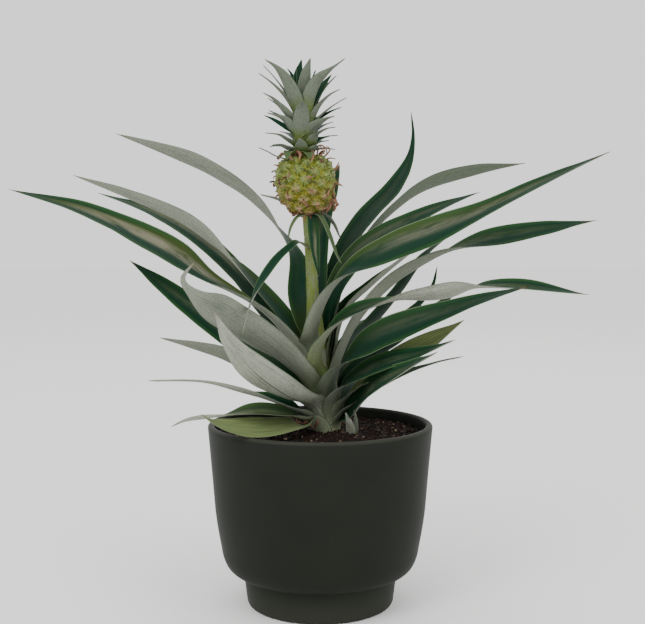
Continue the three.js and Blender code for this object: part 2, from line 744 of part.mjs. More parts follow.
function placeBlade(name, leaf, columns, stations, kind) {
  let solid = solidOf(bladeGeometry(leaf, columns, stations, LEAF.thickness));
  for (const grown of placed) {
    if (solid.intersect(grown).volume() > 0) solid = largestBody(solid.subtract(grown));
  }
  place(name, geometryOf(solid), kind);
  placed.push(solidOf(bladeGeometry(leaf, columns, stations, LEAF.thickness, GAP)));
}

for (const [name, leaf] of Object.entries(LEAVES)) {
  placeBlade(name, leaf, LEAF.columns, LEAF.stations, "leaf");
}
for (const [name, leaf] of Object.entries(SLIM_LEAVES)) {
  placeBlade(name, leaf, LEAF.slimColumns, LEAF.stations, "leaf");
}
for (const [name, bract] of Object.entries(BRACTS)) {
  placeBlade(name, bract, LEAF.slimColumns, LEAF.bractStations, "bract");
}

export default plant;
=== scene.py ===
import math
from functools import partial

import bpy
import numpy as np
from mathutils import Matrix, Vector


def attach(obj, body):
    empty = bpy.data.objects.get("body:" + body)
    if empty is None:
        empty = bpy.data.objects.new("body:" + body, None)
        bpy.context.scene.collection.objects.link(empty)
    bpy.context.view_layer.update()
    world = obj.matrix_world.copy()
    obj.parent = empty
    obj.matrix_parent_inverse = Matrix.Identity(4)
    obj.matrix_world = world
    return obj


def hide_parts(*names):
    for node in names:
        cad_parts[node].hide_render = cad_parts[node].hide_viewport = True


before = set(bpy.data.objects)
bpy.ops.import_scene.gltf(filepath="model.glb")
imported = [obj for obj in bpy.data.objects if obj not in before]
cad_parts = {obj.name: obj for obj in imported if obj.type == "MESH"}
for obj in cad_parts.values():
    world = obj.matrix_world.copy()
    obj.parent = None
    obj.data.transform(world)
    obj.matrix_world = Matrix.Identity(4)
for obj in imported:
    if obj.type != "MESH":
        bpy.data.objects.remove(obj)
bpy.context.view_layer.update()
mm = 0.001
goldenAngle = math.pi * (3 - math.sqrt(5))  # turn from one leaf or eye to the next


def linear(code):
    # an sRGB hex value as the linear colour that a shader takes
    parts = [int(code[i:i + 2], 16) / 255 for i in (1, 3, 5)]
    return [c / 12.92 if c <= 0.04045 else ((c + 0.055) / 1.055) ** 2.4 for c in parts] + [1.0]


def feed(tree, made, inputs):
    # fills inputs by name, or in order from a list; a value is a constant, a socket or a node, for its
    # first live output, and a list of nodes goes into one socket together
    for name, value in inputs.items() if isinstance(inputs, dict) else enumerate(inputs):
        socket = made.inputs[name] if isinstance(name, int) else next(
            s for s in made.inputs if s.enabled and s.name == name)
        several = isinstance(value, list) and not isinstance(value[0], float)
        for one in value if several else [value]:
            if isinstance(one, bpy.types.Node):
                one = next(s for s in one.outputs if s.enabled)
            if isinstance(one, bpy.types.NodeSocket):
                tree.links.new(one, socket)
            else:
                socket.default_value = one


def add(tree, kind, inputs=(), **settings):
    # a node with its settings and links; "Math ADD" is a math node that adds
    kind, _, operation = kind.partition(" ")
    if operation:
        settings["operation"] = operation
    prefixes = ("ShaderNode", "GeometryNode", "FunctionNode", "Node")
    made = tree.nodes.new(next(p + kind for p in prefixes if hasattr(bpy.types, p + kind)))
    for name, value in settings.items():
        setattr(made, name, value)
    feed(tree, made, inputs)
    return made


def newTree(name, inputs):
    # an empty geometry tree, its named inputs from (name, kind) pairs, and what adds nodes to it
    tree = bpy.data.node_groups.new(name, "GeometryNodeTree")
    for title, kind in inputs:
        tree.interface.new_socket(name=title, in_out="INPUT", socket_type="NodeSocket" + kind)
    tree.interface.new_socket(name="Geometry", in_out="OUTPUT", socket_type="NodeSocketGeometry")
    return tree, tree.nodes.new("NodeGroupInput").outputs, partial(add, tree)


def grow(source, tree, values):
    # runs a geometry tree on an object and leaves the result as its plain mesh
    modifier = source.modifiers.new(tree.name, "NODES")
    modifier.node_group = tree
    for item in tree.interface.items_tree:
        if item.in_out == "INPUT" and item.name in values:
            modifier[item.identifier] = values[item.name]
    source.update_tag()
    evaluated = source.evaluated_get(bpy.context.evaluated_depsgraph_get())
    grown = bpy.data.meshes.new_from_object(evaluated)
    source.modifiers.remove(modifier)
    source.data = grown
    return source


def newObject(name, mesh):
    made = bpy.data.objects.new(name, mesh)
    bpy.context.scene.collection.objects.link(made)
    return made


def meshFrom(name, points, faces):
    mesh = bpy.data.meshes.new(name)
    mesh.from_pydata([tuple(p) for p in points], [], faces)
    mesh.shade_smooth()
    return mesh


def finishPiece(piece, node):
    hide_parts(node)
    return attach(piece, "root")


def newMaterial(name):
    # a material, what adds nodes to it, and what fills the inputs of its surface shader
    material = bpy.data.materials.new(name)
    material.use_nodes = True
    tree = material.node_tree
    return material, partial(add, tree), partial(feed, tree, tree.nodes["Principled BSDF"])


def product(node, *parts):
    # multiplies values; (value, low, high) or (value, low, high, top) stands for a soft step up to top
    total = None
    for part in parts:
        if isinstance(part, tuple):
            value, low, high, top = (*part, 1.0)[:4]
            part = node("MapRange", {"Value": value, "From Min": low, "From Max": high, "To Max": top},
                        interpolation_type="SMOOTHSTEP")
        total = part if total is None else node("Math MULTIPLY", [total, part])
    return total


def band(node, value, middle, half):
    # the soft step that leaves a strip round a middle value
    return node("Math ABSOLUTE", [node("Math SUBTRACT", [value, middle])]), half, 0.2 * half


def layers(node, colours, ground, *coats):
    # lays coats over the ground, each a colour's name and the factors of its share
    total = linear(colours[ground])
    for colour, *factors in coats:
        total = node("Mix", {"Factor": product(node, *factors), "A": total, "B": linear(colours[colour])},
                     data_type="RGBA")
    return total


def ownValues(node, names):
    # the values that a mesh carries under these names
    return {name: node("Attribute", attribute_name=name).outputs["Fac"] for name in names}


def finishSkin(node, surface, colour, height, roughness, gloss, strength=0.5, depth=0.25):
    # a surface's colour, dullness and gloss, with a bump up to depth mm from the height pattern
    surface({
        "Base Color": colour, "Roughness": roughness, "Specular IOR Level": gloss,
        "Normal": node("Bump", {"Height": height, "Strength": strength, "Distance": depth * mm})})


# camera
view = {"distance": 629.35, "height": 220.34, "side": 1.4, "down": 3.49, "focal": 1013.97, "pixels": 645,
        "sensor": 36, "clip": (0.01, 60)}


def makeCamera():
    lens = bpy.data.cameras.new("camera")
    lens.sensor_width = view["sensor"]
    lens.lens = view["sensor"] * view["focal"] / view["pixels"]
    lens.clip_start, lens.clip_end = view["clip"]
    camera = newObject("camera", lens)
    camera.location = (view["side"] * mm, -view["distance"] * mm, view["height"] * mm)
    camera.rotation_euler = (math.radians(90 - view["down"]), 0, 0)
    bpy.context.scene.camera = camera


makeCamera()
print("camera set")

# floor and light
studio = {
    "floorRadius": 12.0, "floorSides": 96, "floorColour": "#fbfbfa", "floorRoughness": 0.9,
    "skyColour": "#ffffff", "skyStrength": 1.3, "aim": (0, 0, 0.16),
    "lamps": {
        "key": {"at": (-0.8, -1.2, 1.3), "size": 0.8, "power": 13},
        "fill": {"at": (1.2, -1.1, 0.9), "size": 1.0, "power": 7},
        "back": {"at": (0.3, 1.5, 1.4), "size": 1.2, "power": 3}},
}


def makeStudio():
    sides = studio["floorSides"]
    ring = [(studio["floorRadius"] * math.cos(a), studio["floorRadius"] * math.sin(a), 0)
            for a in np.linspace(0, 2 * math.pi, sides, endpoint=False)]
    floor = newObject("studioFloor", meshFrom("studioFloor", ring, [tuple(range(sides))]))
    material, node, surface = newMaterial("paleMattePaper")  # even and dull, so it only takes soft shade
    surface({"Base Color": linear(studio["floorColour"]), "Roughness": studio["floorRoughness"]})
    floor.data.materials.append(material)
    world = bpy.data.worlds.new("studioSky")
    world.use_nodes = True
    feed(world.node_tree, world.node_tree.nodes["Background"], {
        "Color": linear(studio["skyColour"]), "Strength": studio["skyStrength"]})
    bpy.context.scene.world = world
    for name, given in studio["lamps"].items():
        lamp = bpy.data.lights.new(name, "AREA")
        lamp.shape = "DISK"
        lamp.size = given["size"]
        lamp.energy = given["power"]
        light = newObject(name, lamp)
        light.location = given["at"]
        light.rotation_euler = (Vector(studio["aim"]) - light.location).to_track_quat("-Z", "Y").to_euler()


makeStudio()
print("studio set")


# turned and ringed pieces
def ringed(name, start, rings, end):
    # a closed surface through rings of points, drawn together at a point on each end
    rings = np.array(rings, float)
    count, sides = rings.shape[:2]
    points = np.vstack([[start], rings.reshape(-1, 3), [end]]) * mm
    last = len(points) - 1
    faces = []
    for k in range(sides):
        after = (k + 1) % sides
        faces.append((0, 1 + after, 1 + k))
        faces.append((last, last - sides + k, last - sides + after))
        for low in range(1, 1 + (count - 1) * sides, sides):
            faces.append((low + k, low + after, low + sides + after, low + sides + k))
    return meshFrom(name, points, faces)


def turned(name, profile, sides, wobble=lambda x, y, z: 0):
    # a closed surface turned round the axis from (radius, height) pairs that start and end on it
    angles = np.arange(sides) * 2 * math.pi / sides
    rings = []
    for radius, z in profile[1:-1]:
        ring = [(radius * math.cos(a), radius * math.sin(a)) for a in angles]
        rings.append([(x, y, z + wobble(x, y, z)) for x, y in ring])
    low, high = profile[0][1], profile[-1][1]
    return ringed(name, (0, 0, low), rings, (0, 0, high + wobble(0, 0, high)))


def storeFields(mesh, values):
    # keeps a number or a vector for each point under its name
    for kept, value in values.items():
        value = np.asarray(value, float)
        vector = value.ndim == 2
        made = mesh.attributes.new(kept, "FLOAT_VECTOR" if vector else "FLOAT", "POINT")
        made.data.foreach_set("vector" if vector else "value", value.ravel())


def joined(name, parts):
    with bpy.context.temp_override(active_object=parts[0], object=parts[0], selected_editable_objects=parts):
        bpy.ops.object.join()
    parts[0].name = name
    return parts[0]


def eachUnit(vectors):
    return vectors / np.linalg.norm(vectors, axis=1)[:, None]


def hermite(start, end, slopeIn, slopeOut, w):
    # the cubic between two values that meets them at the given slopes
    rise = end - start
    return start + slopeIn * w + (3 * rise - 2 * slopeIn - slopeOut) * w ** 2 + (
        slopeIn + slopeOut - 2 * rise) * w ** 3


def roundedPath(points, count, walk=40):
    # an even walk along a Catmull-Rom curve paced by the square root of the points' spacing
    points = [np.array(p, float) for p in points]
    ends = [2 * points[0] - points[1]] + points + [2 * points[-1] - points[-2]]
    walked = []
    w = np.linspace(0, 1, walk, endpoint=False)[:, None]
    for p0, p1, p2, p3 in zip(ends, ends[1:], ends[2:], ends[3:]):
        d0, d1, d2 = (np.linalg.norm(b - a) ** 0.5 for a, b in ((p0, p1), (p1, p2), (p2, p3)))
        t1 = ((p1 - p0) / d0 - (p2 - p0) / (d0 + d1) + (p2 - p1) / d1) * d1
        t2 = ((p2 - p1) / d1 - (p3 - p1) / (d1 + d2) + (p3 - p2) / d2) * d1
        walked.append(hermite(p1, p2, t1, t2, w))
    walked = np.vstack(walked + [points[-1][None]])
    gone = np.concatenate([[0], np.cumsum(np.linalg.norm(np.diff(walked, axis=0), axis=1))])
    even = np.linspace(0, gone[-1], count)
    return np.stack([np.interp(even, gone, walked[:, k]) for k in range(walked.shape[1])], 1), gone[-1]


def eased(values, t):
    # a smooth curve through evenly spaced values, read at t from 0 to 1
    values = np.array(values, float)
    last = len(values) - 1
    place = np.clip(t, 0, 1) * last
    i = np.minimum(place.astype(int), last - 1)
    here, there = values[i], values[i + 1]
    slopeIn = (there - values[np.maximum(i - 1, 0)]) / 2
    slopeOut = (values[np.minimum(i + 2, last)] - here) / 2
    return hermite(here, there, slopeIn, slopeOut, place - i)


# pot
pot = {
    "height": 113, "rimRadius": 70, "wall": 4.4, "floor": 7, "sides": 160,
    "foot": [(43.9, 0), (45.3, 0.6), (45.9, 2), (47.1, 11), (48.1, 18.2), (48.4, 19.4)],
    "bowl": [(49.4, 20.2), (53.4, 21), (57.8, 24.2), (60.7, 30), (62.3, 38), (64.1, 48), (65.5, 58),
             (67, 76), (68.6, 95), (69.8, 109)],
    "inside": [(65.4, 109), (64.2, 95), (60.9, 57), (55.9, 36), (44, 24), (40.2, 13), (35.2, 7)],
    "colour": "#1c1f1a", "colourThin": "#22251f",  # where the glaze lies thinner
    # the lighter rim colour: at the lip thinner glaze plus a painted highlight, at the foot painted light
    # lifting the shade under the bowl
    "colourRim": "#33352e", "lipFade": (111, 112.4), "footFade": (22, -4),  # heights over which it comes in
    "cloudSize": 28, "grainSize": 1.3, "dullness": (0.46, 0.55),
    "finish": (0.05, 0.12, 0.15),  # gloss, then the strength and depth in mm of the bump
}


def potMaterial():
    # a matt glaze fired on stoneware: even and dark, with a broad silky highlight
    material, node, surface = newMaterial("mattGlazedStoneware")
    place = node("TexCoord").outputs["Object"]
    cloud = node("TexNoise", {"Vector": place, "Scale": 1 / (pot["cloudSize"] * mm), "Detail": 3.0})
    grain = node("TexNoise", {"Vector": place, "Scale": 1 / (pot["grainSize"] * mm), "Detail": 2.0})
    height = node("SeparateXYZ", [place]).outputs["Z"]
    lip, foot = (
        node("MapRange", {"Value": height, "From Min": low * mm, "From Max": high * mm})
        for low, high in (pot["lipFade"], pot["footFade"]))
    # lip and foot lightened: thinner glaze and a painted highlight at the lip, painted light over the shaded
    # foot
    tone = layers(node, pot, "colour", ("colourThin", cloud), ("colourRim", lip), ("colourRim", foot))
    dull = node("MapRange", {"Value": cloud, "To Min": pot["dullness"][0], "To Max": pot["dullness"][1]})
    finishSkin(node, surface, tone, grain, dull, *pot["finish"])
    return material


def makePot():
    lip = pot["wall"] / 2
    lipMiddle = pot["rimRadius"] - lip
    lipArc = [(lipMiddle + lip * math.cos(a), pot["height"] - lip + lip * math.sin(a))
              for a in np.linspace(0.1, math.pi - 0.1, 12)]
    outside = [tuple(p) for p in roundedPath(pot["bowl"] + [lipArc[0]], 60)[0]]
    inside = [tuple(p) for p in roundedPath([lipArc[-1]] + pot["inside"], 30)[0]]
    profile = [(0, 0)] + pot["foot"] + outside + lipArc[1:-1] + inside + [(0, pot["floor"])]
    piece = newObject("footedPot", turned("footedPot", profile, pot["sides"]))
    piece.data.materials.append(potMaterial())
    finishPiece(piece, "pot")


makePot()
print("pot made")

# soil
soil = {
    "bottom": 7.3, "top": 106, "mound": 3, "crumbs": 0.9, "edge": 63.9, "rings": 70, "sides": 180,
    "walls": [(33.9, 7.3), (39.7, 13.4), (43, 24.8), (55.1, 36.8), (63.6, 95)],
    "grains": 5200, "smallest": 0.6, "largest": 2.4, "highestTone": 0.87, "seed": 4, "crumbSize": 2.2,
    "dark": "#0a0605", "brown": "#2b1a13", "light": "#98846f",
    "brownAt": (0.55, 0.84), "finish": (0.85, 0.2, 0.9, 1.2),  # roughness, gloss and the bump
}


def soilHeight(x, y, z):
    if z != soil["top"]:
        return 0
    reach = math.hypot(x, y) / pot["rimRadius"]
    waves = math.sin(0.23 * x + 1) * math.cos(0.19 * y) + math.sin(0.41 * (x - y))
    return soil["mound"] * math.exp(-6 * reach * reach) + soil["crumbs"] * 0.5 * waves


def soilMaterial():
    # damp peat and bark: near black, dull, with crumbs that catch the light
    material, node, surface = newMaterial("dampPottingMix")
    place = node("TexCoord").outputs["Object"]
    crumbs = node("TexNoise", {"Vector": place, "Scale": 1 / (soil["crumbSize"] * mm), "Detail": 6.0})
    both = node("Math ADD", [crumbs, ownValues(node, ["tone"])["tone"]])
    colour = node("ValToRGB", {"Fac": node("MapRange", {"Value": both, "From Min": 0.4, "From Max": 1.45})})
    stops = colour.color_ramp.elements
    stops[0].color = linear(soil["dark"])
    stops[1].color = linear(soil["light"])
    for at in soil["brownAt"]:
        stops.new(at).color = linear(soil["brown"])
    finishSkin(node, surface, colour, crumbs, *soil["finish"])
    return material


def soilTree():
    # scatters lumpy crumbs over the faces that look up
    tree, given, node = newTree("soilGrains", [
        ("Soil", "Geometry"), ("Count", "Float"), ("Smallest", "Float"), ("Largest", "Float"),
        ("Highest tone", "Float"), ("Seed", "Int"), ("Finish", "Material")])
    up = node("SeparateXYZ", [node("InputNormal")]).outputs["Z"]
    points = node("DistributePointsOnFaces", {
        "Mesh": given["Soil"], "Selection": node("Compare GREATER_THAN", {"A": up, "B": 0.8}),
        "Density": given["Count"], "Seed": given["Seed"]})
    tone = node("RandomValue", {"Min": 0.0, "Max": given["Highest tone"], "Seed": 7})
    toned = node("StoreNamedAttribute", {"Geometry": points, "Name": "tone", "Value": tone})
    ball = node("MeshIcoSphere", {"Radius": 0.5, "Subdivisions": 1})
    dents = node("TexNoise", {"Vector": node("InputPosition"), "Scale": 2.2, "Detail": 1.0})
    push = node("VectorMath SUBTRACT", [dents.outputs["Color"], (0.5, 0.5, 0.5)])
    lumpy = node("SetPosition", {"Geometry": ball, "Offset": push})
    size = node("RandomValue", {"Min": given["Smallest"], "Max": given["Largest"], "Seed": 3})
    stretch = node("RandomValue", {"Min": (0.6, 0.6, 0.45), "Max": (1.4, 1.1, 0.9), "Seed": 5},
                   data_type="FLOAT_VECTOR")
    turn = node("RandomValue", {"Min": (0, 0, 0), "Max": (6.3, 6.3, 6.3), "Seed": 9},
                data_type="FLOAT_VECTOR")
    placed = node("InstanceOnPoints", {
        "Points": toned, "Instance": lumpy, "Rotation": node("EulerToRotation", [turn]),
        "Scale": node("VectorMath SCALE", {"Vector": stretch, "Scale": size})})
    real = node("RealizeInstances", [node("JoinGeometry", {"Geometry": [placed, given["Soil"]]})])
    node("GroupOutput", [node("SetMaterial", {"Geometry": real, "Material": given["Finish"]})])
    return tree


def makeSoil():
    tops = [(soil["edge"] * (1 - r / soil["rings"]), soil["top"]) for r in range(soil["rings"])]
    profile = [(0, soil["bottom"])] + soil["walls"] + tops + [(0, soil["top"])]
    piece = newObject("pottingSoil", turned("pottingSoil", profile, soil["sides"], soilHeight))
    grow(piece, soilTree(), {
        "Count": soil["grains"] / (math.pi * (soil["edge"] * mm) ** 2), "Smallest": soil["smallest"] * mm,
        "Largest": soil["largest"] * mm, "Highest tone": soil["highestTone"], "Seed": soil["seed"],
        "Finish": soilMaterial()})
    finishPiece(piece, "soil")


makeSoil()
print("soil made")

# stalk
stalk = {
    "path": [[4, 0, 88], [3, 0, 112], [1, 0, 135], [-2, 0, 160], [-4.4, 0, 188], [-5.6, 0, 214],
             [-6.8, 0, 242.6]],
    "radii": [8.4, 8.8, 8.2, 6.2, 4, 3.7, 4.2],
    "rows": 180, "sides": 44, "ridges": 11, "ridgeDepth": 0.1, "ridgeTwist": 0.05,
    "scarSpacing": 14, "scarDepth": 0.22, "scarAt": 3, "scarWidth": 0.7, "scarSway": 2.5,
    "low": "#6b7a37", "bloom": "#747b62", "speck": "#343b22", "streakWidth": 1.6, "speckSize": 0.9,
    "finish": (0.55, 0.2),
    "top": "#a5754b", "topMiddle": 241, "topHalf": 5,  # the tanned ring under the fruit
    "sheath": "#8c8560", "sheathBelow": 122, "sheathFade": 8,  # the cream-coloured foot above the soil
}


def stemCentre(z):
    return np.array([np.interp(z, [p[2] for p in stalk["path"]], [p[0] for p in stalk["path"]]), 0, z])


# withered paper: the fruit's bract tips and the shreds left round the stem's foot and the crown
dry = {
    "light": "#a57f62", "dark": "#43281f", "pink": "#8f6a55", "grainSize": 0.8, "finish": (0.75, 0.1),
    "footShreds": [
        [[-16, -14, 113], [-13.5, -15, 115.5], [-11, -14.5, 114.5]],
        [[-11, -15, 113], [-8.4, -16, 116], [-6, -15, 113.5], [-4, -14, 111.5]],
        [[-3, -14, 112], [-1.5, -14.5, 115.5], [-1, -13, 117.5]],
        [[-21, -17, 112.5], [-19, -18, 114], [-17.5, -17, 112.6]]],
    "shoulderShreds": [
        [[-23.6, -8, 278.8], [-20, -13, 278], [-16.3, -15.6, 274.6]],
        [[-26, -6, 276], [-23, -9, 278.5], [-19, -10, 278.5]],
        [[-4.8, -12, 280], [-4.2, -15, 277.5], [-5.4, -17.6, 273]],
        [[-14, -13, 280], [-12, -15, 278], [-12.6, -17, 274.5]]],
    "sideHooks": [
        [[-22, -3, 270.6], [-26.1, -4, 272.1], [-28.6, -4, 272.6]],
        [[-20, -4, 264.5], [-25.1, -4, 265.1], [-28.3, -4, 265.3], [-28.8, -4, 263.8]],
        [[-22, -4, 257], [-24.7, -4, 261], [-26.3, -4, 258.2]],
        [[-20, -4, 251.5], [-22.5, -4, 249.1], [-24.6, -4, 248.6]],
        [[8, -4, 268.6], [10.4, -4, 271.6], [11.5, -4, 274.4]],
        [[8, -4, 261], [11.1, -4, 260.8], [14.0, -4, 259.5]],
        [[7.4, -4, 254.8], [9.8, -4, 250.2], [9.5, -4, 245]]],
    "footRadii": [0.5, 0.8, 0.6, 0.3], "shoulderRadii": [0.9, 1.0, 0.8, 0.3],
    "curlRadii": [0.55, 0.5, 0.4, 0.25], "hookRadii": [0.75, 0.75, 0.6, 0.25],
    "rows": 36, "sides": 6, "tones": (0.9, 0.3),
}

# leaves, bracts and crown: one tree sweeps an arched blade along its rib
blade = {
    "grid": (64, 11), "bractGrid": (40, 7), "thickness": 0.9, "bractSeed": 40,
    "sheath": 14, "clasp": 16,  # how far a leaf reaches down the stem, and where it has turned free of it
    "tuck": 0.6, "aimAt": 0.6, "pointFrom": 0.04, "leastWidth": 0.9, "leastBend": 2,
    "cup": [60, 38, 30, 28, 26, 22, 15],  # half the arch of a leaf that sets none, in degrees
    "ripple": 0.7, "rippleSpacing": 26, "jointGap": 0.001,
    # the deepest upper green and the under dark also serve as painted shade laid over whole blades
    "upper": "#143524", "upperDeep": "#0f261b", "upperWarm": "#263c1f", "teal": "#273d32",
    # the tan is painted sheen along the blade's middle
    "tan": "#777562", "olive": "#3d4a1e", "fresh": "#7a8757", "margin": "#305427", "edge": "#7b876b",
    "under": "#6b7164", "underPale": "#a5a799", "underVein": "#535e4b", "underDark": "#3e4a3a",
    "foot": "#5c6b34", "cream": "#97926f", "dry": "#6c5640",
    "patterns": {"veins": (15.0, 3.0, 4.0), "clouds": (1.3, 6.0, 3.0)},  # scale across and along, and detail
    "speckle": 1.0,  # the felt's scales, drawn coarser than real ones so that they show
    "upperFinish": (0.42, 0.05), "underFinish": (0.7, 0.1),
}
# what a leaf may set for itself: the attribute that carries it and its usual value
bladeShares = {
    # this line's fresh green share also stands for painted light through a backlit blade
    "streak": ("streak", 0.3), "foot": ("greenFoot", 0.5), "dry": ("dryTip", 0.5), "fresh": ("fresh", 0.0),
    # one share on the next line darkens a whole blade with painted shade
    "pale": ("pale", 0.35), "line": ("midLine", 0.0), "deep": ("deepTone", 0.0), "at": ("streakAt", 0.1)}
carried = ["leafSeed", *(carrier for carrier, usual in bladeShares.values())]


def bladeTree():
    tree, given, node = newTree("leafBlade", [
        ("Rib", "Geometry"), ("Stations", "Int"), ("Columns", "Int"), ("Thickness", "Float"),
        ("Ripple", "Float"), ("Ripple spacing", "Float"), *[(name, "Float") for name in carried],
        ("Upper finish", "Material"), ("Under finish", "Material")])
    place = node("SeparateXYZ", [node("InputPosition")]).outputs
    # columns crowd towards the margins: v (3 - v v) / 2
    crowd = node("Math MULTIPLY_ADD", [node("Math POWER", [place["Y"], 2.0]), -0.5, 1.5])
    fields = {
        "along": node("Math ADD", [place["X"], 0.5]), "across": node("Math MULTIPLY", [place["Y"], crowd]),
        **{name: given[name] for name in carried}}
    sheet = node("MeshGrid", {
        "Size X": 1.0, "Size Y": 2.0, "Vertices X": given["Stations"], "Vertices Y": given["Columns"]})
    for kept, value in fields.items():
        sheet = node("StoreNamedAttribute", {"Geometry": sheet, "Name": kept, "Value": value})
    along, across = (node("InputNamedAttribute", {"Name": name}) for name in ("along", "across"))
    steps = node("Math SUBTRACT", [given["Stations"], 1.0])
    row = node("Math ROUND", [node("Math MULTIPLY", [along, steps])])
    read = {"spine": (node("InputPosition"), "FLOAT_VECTOR")}
    for kept in ("side", "lift", "width", "bend", "reach"):
        kind = "FLOAT_VECTOR" if kept in ("side", "lift") else "FLOAT"
        read[kept] = node("InputNamedAttribute", {"Name": kept}, data_type=kind), kind
    spine, side, lift, width, bend, reach = (
        node("SampleIndex", {"Geometry": given["Rib"], "Value": value, "Index": row}, data_type=kind)
        for value, kind in read.values())
    # a point on the arched section
    angle = node("Math MULTIPLY", [across, bend])
    sine, cosine = node("Math SINE", [angle]), node("Math COSINE", [angle])
    radius = node("Math DIVIDE", [width, node("Math MULTIPLY", [bend, 2.0])])
    fall = node("Math SUBTRACT", [1.0, cosine])
    sideways = node("VectorMath SCALE", {"Vector": side, "Scale": node("Math MULTIPLY", [sine, radius])})
    upwards = node("VectorMath SCALE", {"Vector": lift, "Scale": node("Math MULTIPLY", [fall, radius])})
    middle = node("VectorMath ADD", [spine, node("VectorMath ADD", [sideways, upwards])])
    normal = node("VectorMath SUBTRACT", [
        node("VectorMath SCALE", {"Vector": lift, "Scale": cosine}),
        node("VectorMath SCALE", {"Vector": side, "Scale": sine})])
    # the margins ripple, each side in its own way
    waveAt = node("CombineXYZ", [
        node("Math DIVIDE", [reach, given["Ripple spacing"]]), node("Math SIGN", [across]),
        given["leafSeed"]])
    wave = node("TexNoise", {"Vector": waveAt, "Scale": 1.0, "Detail": 1.0})
    outer = node("Math POWER", [node("Math ABSOLUTE", [across]), 2.5])
    swing = node("Math MULTIPLY", [outer, given["Ripple"]])
    ripple = node("Math MULTIPLY", [node("Math SUBTRACT", [wave, 0.5]), swing])
    # the blade thins to nothing at its margins and ends, where its two skins meet
    body = node("Math SUBTRACT", [1.0, node("Math POWER", [across, 4.0])])
    fromMiddle = node("Math MULTIPLY_ADD", [along, 2.0, -1.0])
    ends = node("Math SUBTRACT", [1.0, node("Math POWER", [fromMiddle, 20.0])])
    half = product(node, given["Thickness"], 0.5, body, ends)
    skins = []
    for way in (1, -1):
        off = node("Math MULTIPLY_ADD", [half, float(way), ripple])
        shift = node("VectorMath SCALE", {"Vector": normal, "Scale": off})
        put = node("SetPosition", {"Geometry": sheet, "Position": node("VectorMath ADD", [middle, shift])})
        if way < 0:
            put = node("FlipFaces", [put])
        skins.append(node("StoreNamedAttribute", {"Geometry": put, "Name": "under", "Value": way < 0},
                          data_type="BOOLEAN", domain="FACE"))
    both = node("JoinGeometry", {"Geometry": skins})
    closed = node("MergeByDistance", {"Geometry": both, "Distance": blade["jointGap"] * mm})
    real = node("RealizeInstances", [node("SetShadeSmooth", [closed])])
    upper = node("SetMaterial", {"Geometry": real, "Material": given["Upper finish"]})
    under = node("InputNamedAttribute", {"Name": "under"}, data_type="BOOLEAN")
    node("GroupOutput", [node("SetMaterial", {
        "Geometry": upper, "Selection": under, "Material": given["Under finish"]})])
    return tree


def ribMesh(name, leaf, stations):
    # the rib as a chain of points that carry the blade's width, arch and facing; a leaf with a sheath
    # reaches down the stem by its length and turns there to clasp it
    root, sheath = np.array(leaf["rib"][0], float), leaf.get("sheath", 0)
    inward = stemCentre(root[2]) - root
    inward /= max(np.linalg.norm(inward), 1e-6)
    low = root + stemCentre(root[2] - sheath) - stemCentre(root[2]) + blade["tuck"] * inward
    path, length = roundedPath(([low] if sheath else []) + leaf["rib"], stations)
    gone = np.linspace(0, length, stations)
    foot = np.linalg.norm(low - root) if sheath else 0
    t = np.clip((gone - foot) / (length - foot), 0, 1)
    along = eachUnit(np.gradient(path, axis=0))
    aim = path[np.argmax(t >= blade["aimAt"])] - root
    facing = math.radians(leaf["azimuth"]) if "azimuth" in leaf else math.atan2(aim[1], aim[0])
    across = np.array([-math.sin(facing), math.cos(facing), 0])
    side = eachUnit(across - (along @ across)[:, None] * along)
    lift = np.cross(along, side)
    turn = np.radians(eased(leaf.get("roll", [0, 0]), t))
    if sheath:
        clasp = np.arctan2(-(side @ inward), lift @ inward)
        free = np.clip((gone - foot) / blade["clasp"], 0, 1)
        free = free * free * (3 - 2 * free)
        turn = clasp + free * ((turn - clasp + math.pi) % (2 * math.pi) - math.pi)
    turn = turn[:, None]
    side, lift = side * np.cos(turn) + lift * np.sin(turn), lift * np.cos(turn) - side * np.sin(turn)
    point = np.clip((1 - t) / blade["pointFrom"], 0.1, 1) ** 0.6
    width = np.maximum(eased(leaf["width"], t), blade["leastWidth"]) * point
    bend = np.radians(np.maximum(eased(leaf.get("cup", blade["cup"]), t), blade["leastBend"]))
    mesh = bpy.data.meshes.new(name)
    mesh.from_pydata([tuple(p) for p in path * mm], [(i, i + 1) for i in range(stations - 1)], [])
    storeFields(mesh, {"side": side, "lift": lift, "width": width * mm, "bend": bend, "reach": gone * mm})
    return mesh


def bladePatterns(node):
    # the leaf's own values with the fine veins, slow clouds and felt specks that follow the blade
    own = ownValues(node, ["along", "across", *carried])
    for name, (scaleAcross, scaleAlong, detail) in blade["patterns"].items():
        place = node("CombineXYZ", [
            node("Math MULTIPLY", [own["across"], scaleAcross]),
            node("Math MULTIPLY", [own["along"], scaleAlong]), own["leafSeed"]])
        own[name] = node("TexNoise", {"Vector": place, "Scale": 1.0, "Detail": detail, "Roughness": 0.65})
    own["specks"] = node("TexNoise", {
        "Vector": node("TexCoord").outputs["Object"], "Scale": 1 / (blade["speckle"] * mm), "Detail": 2.0})
    own["edge"] = node("Math ABSOLUTE", [own["across"]])
    return own


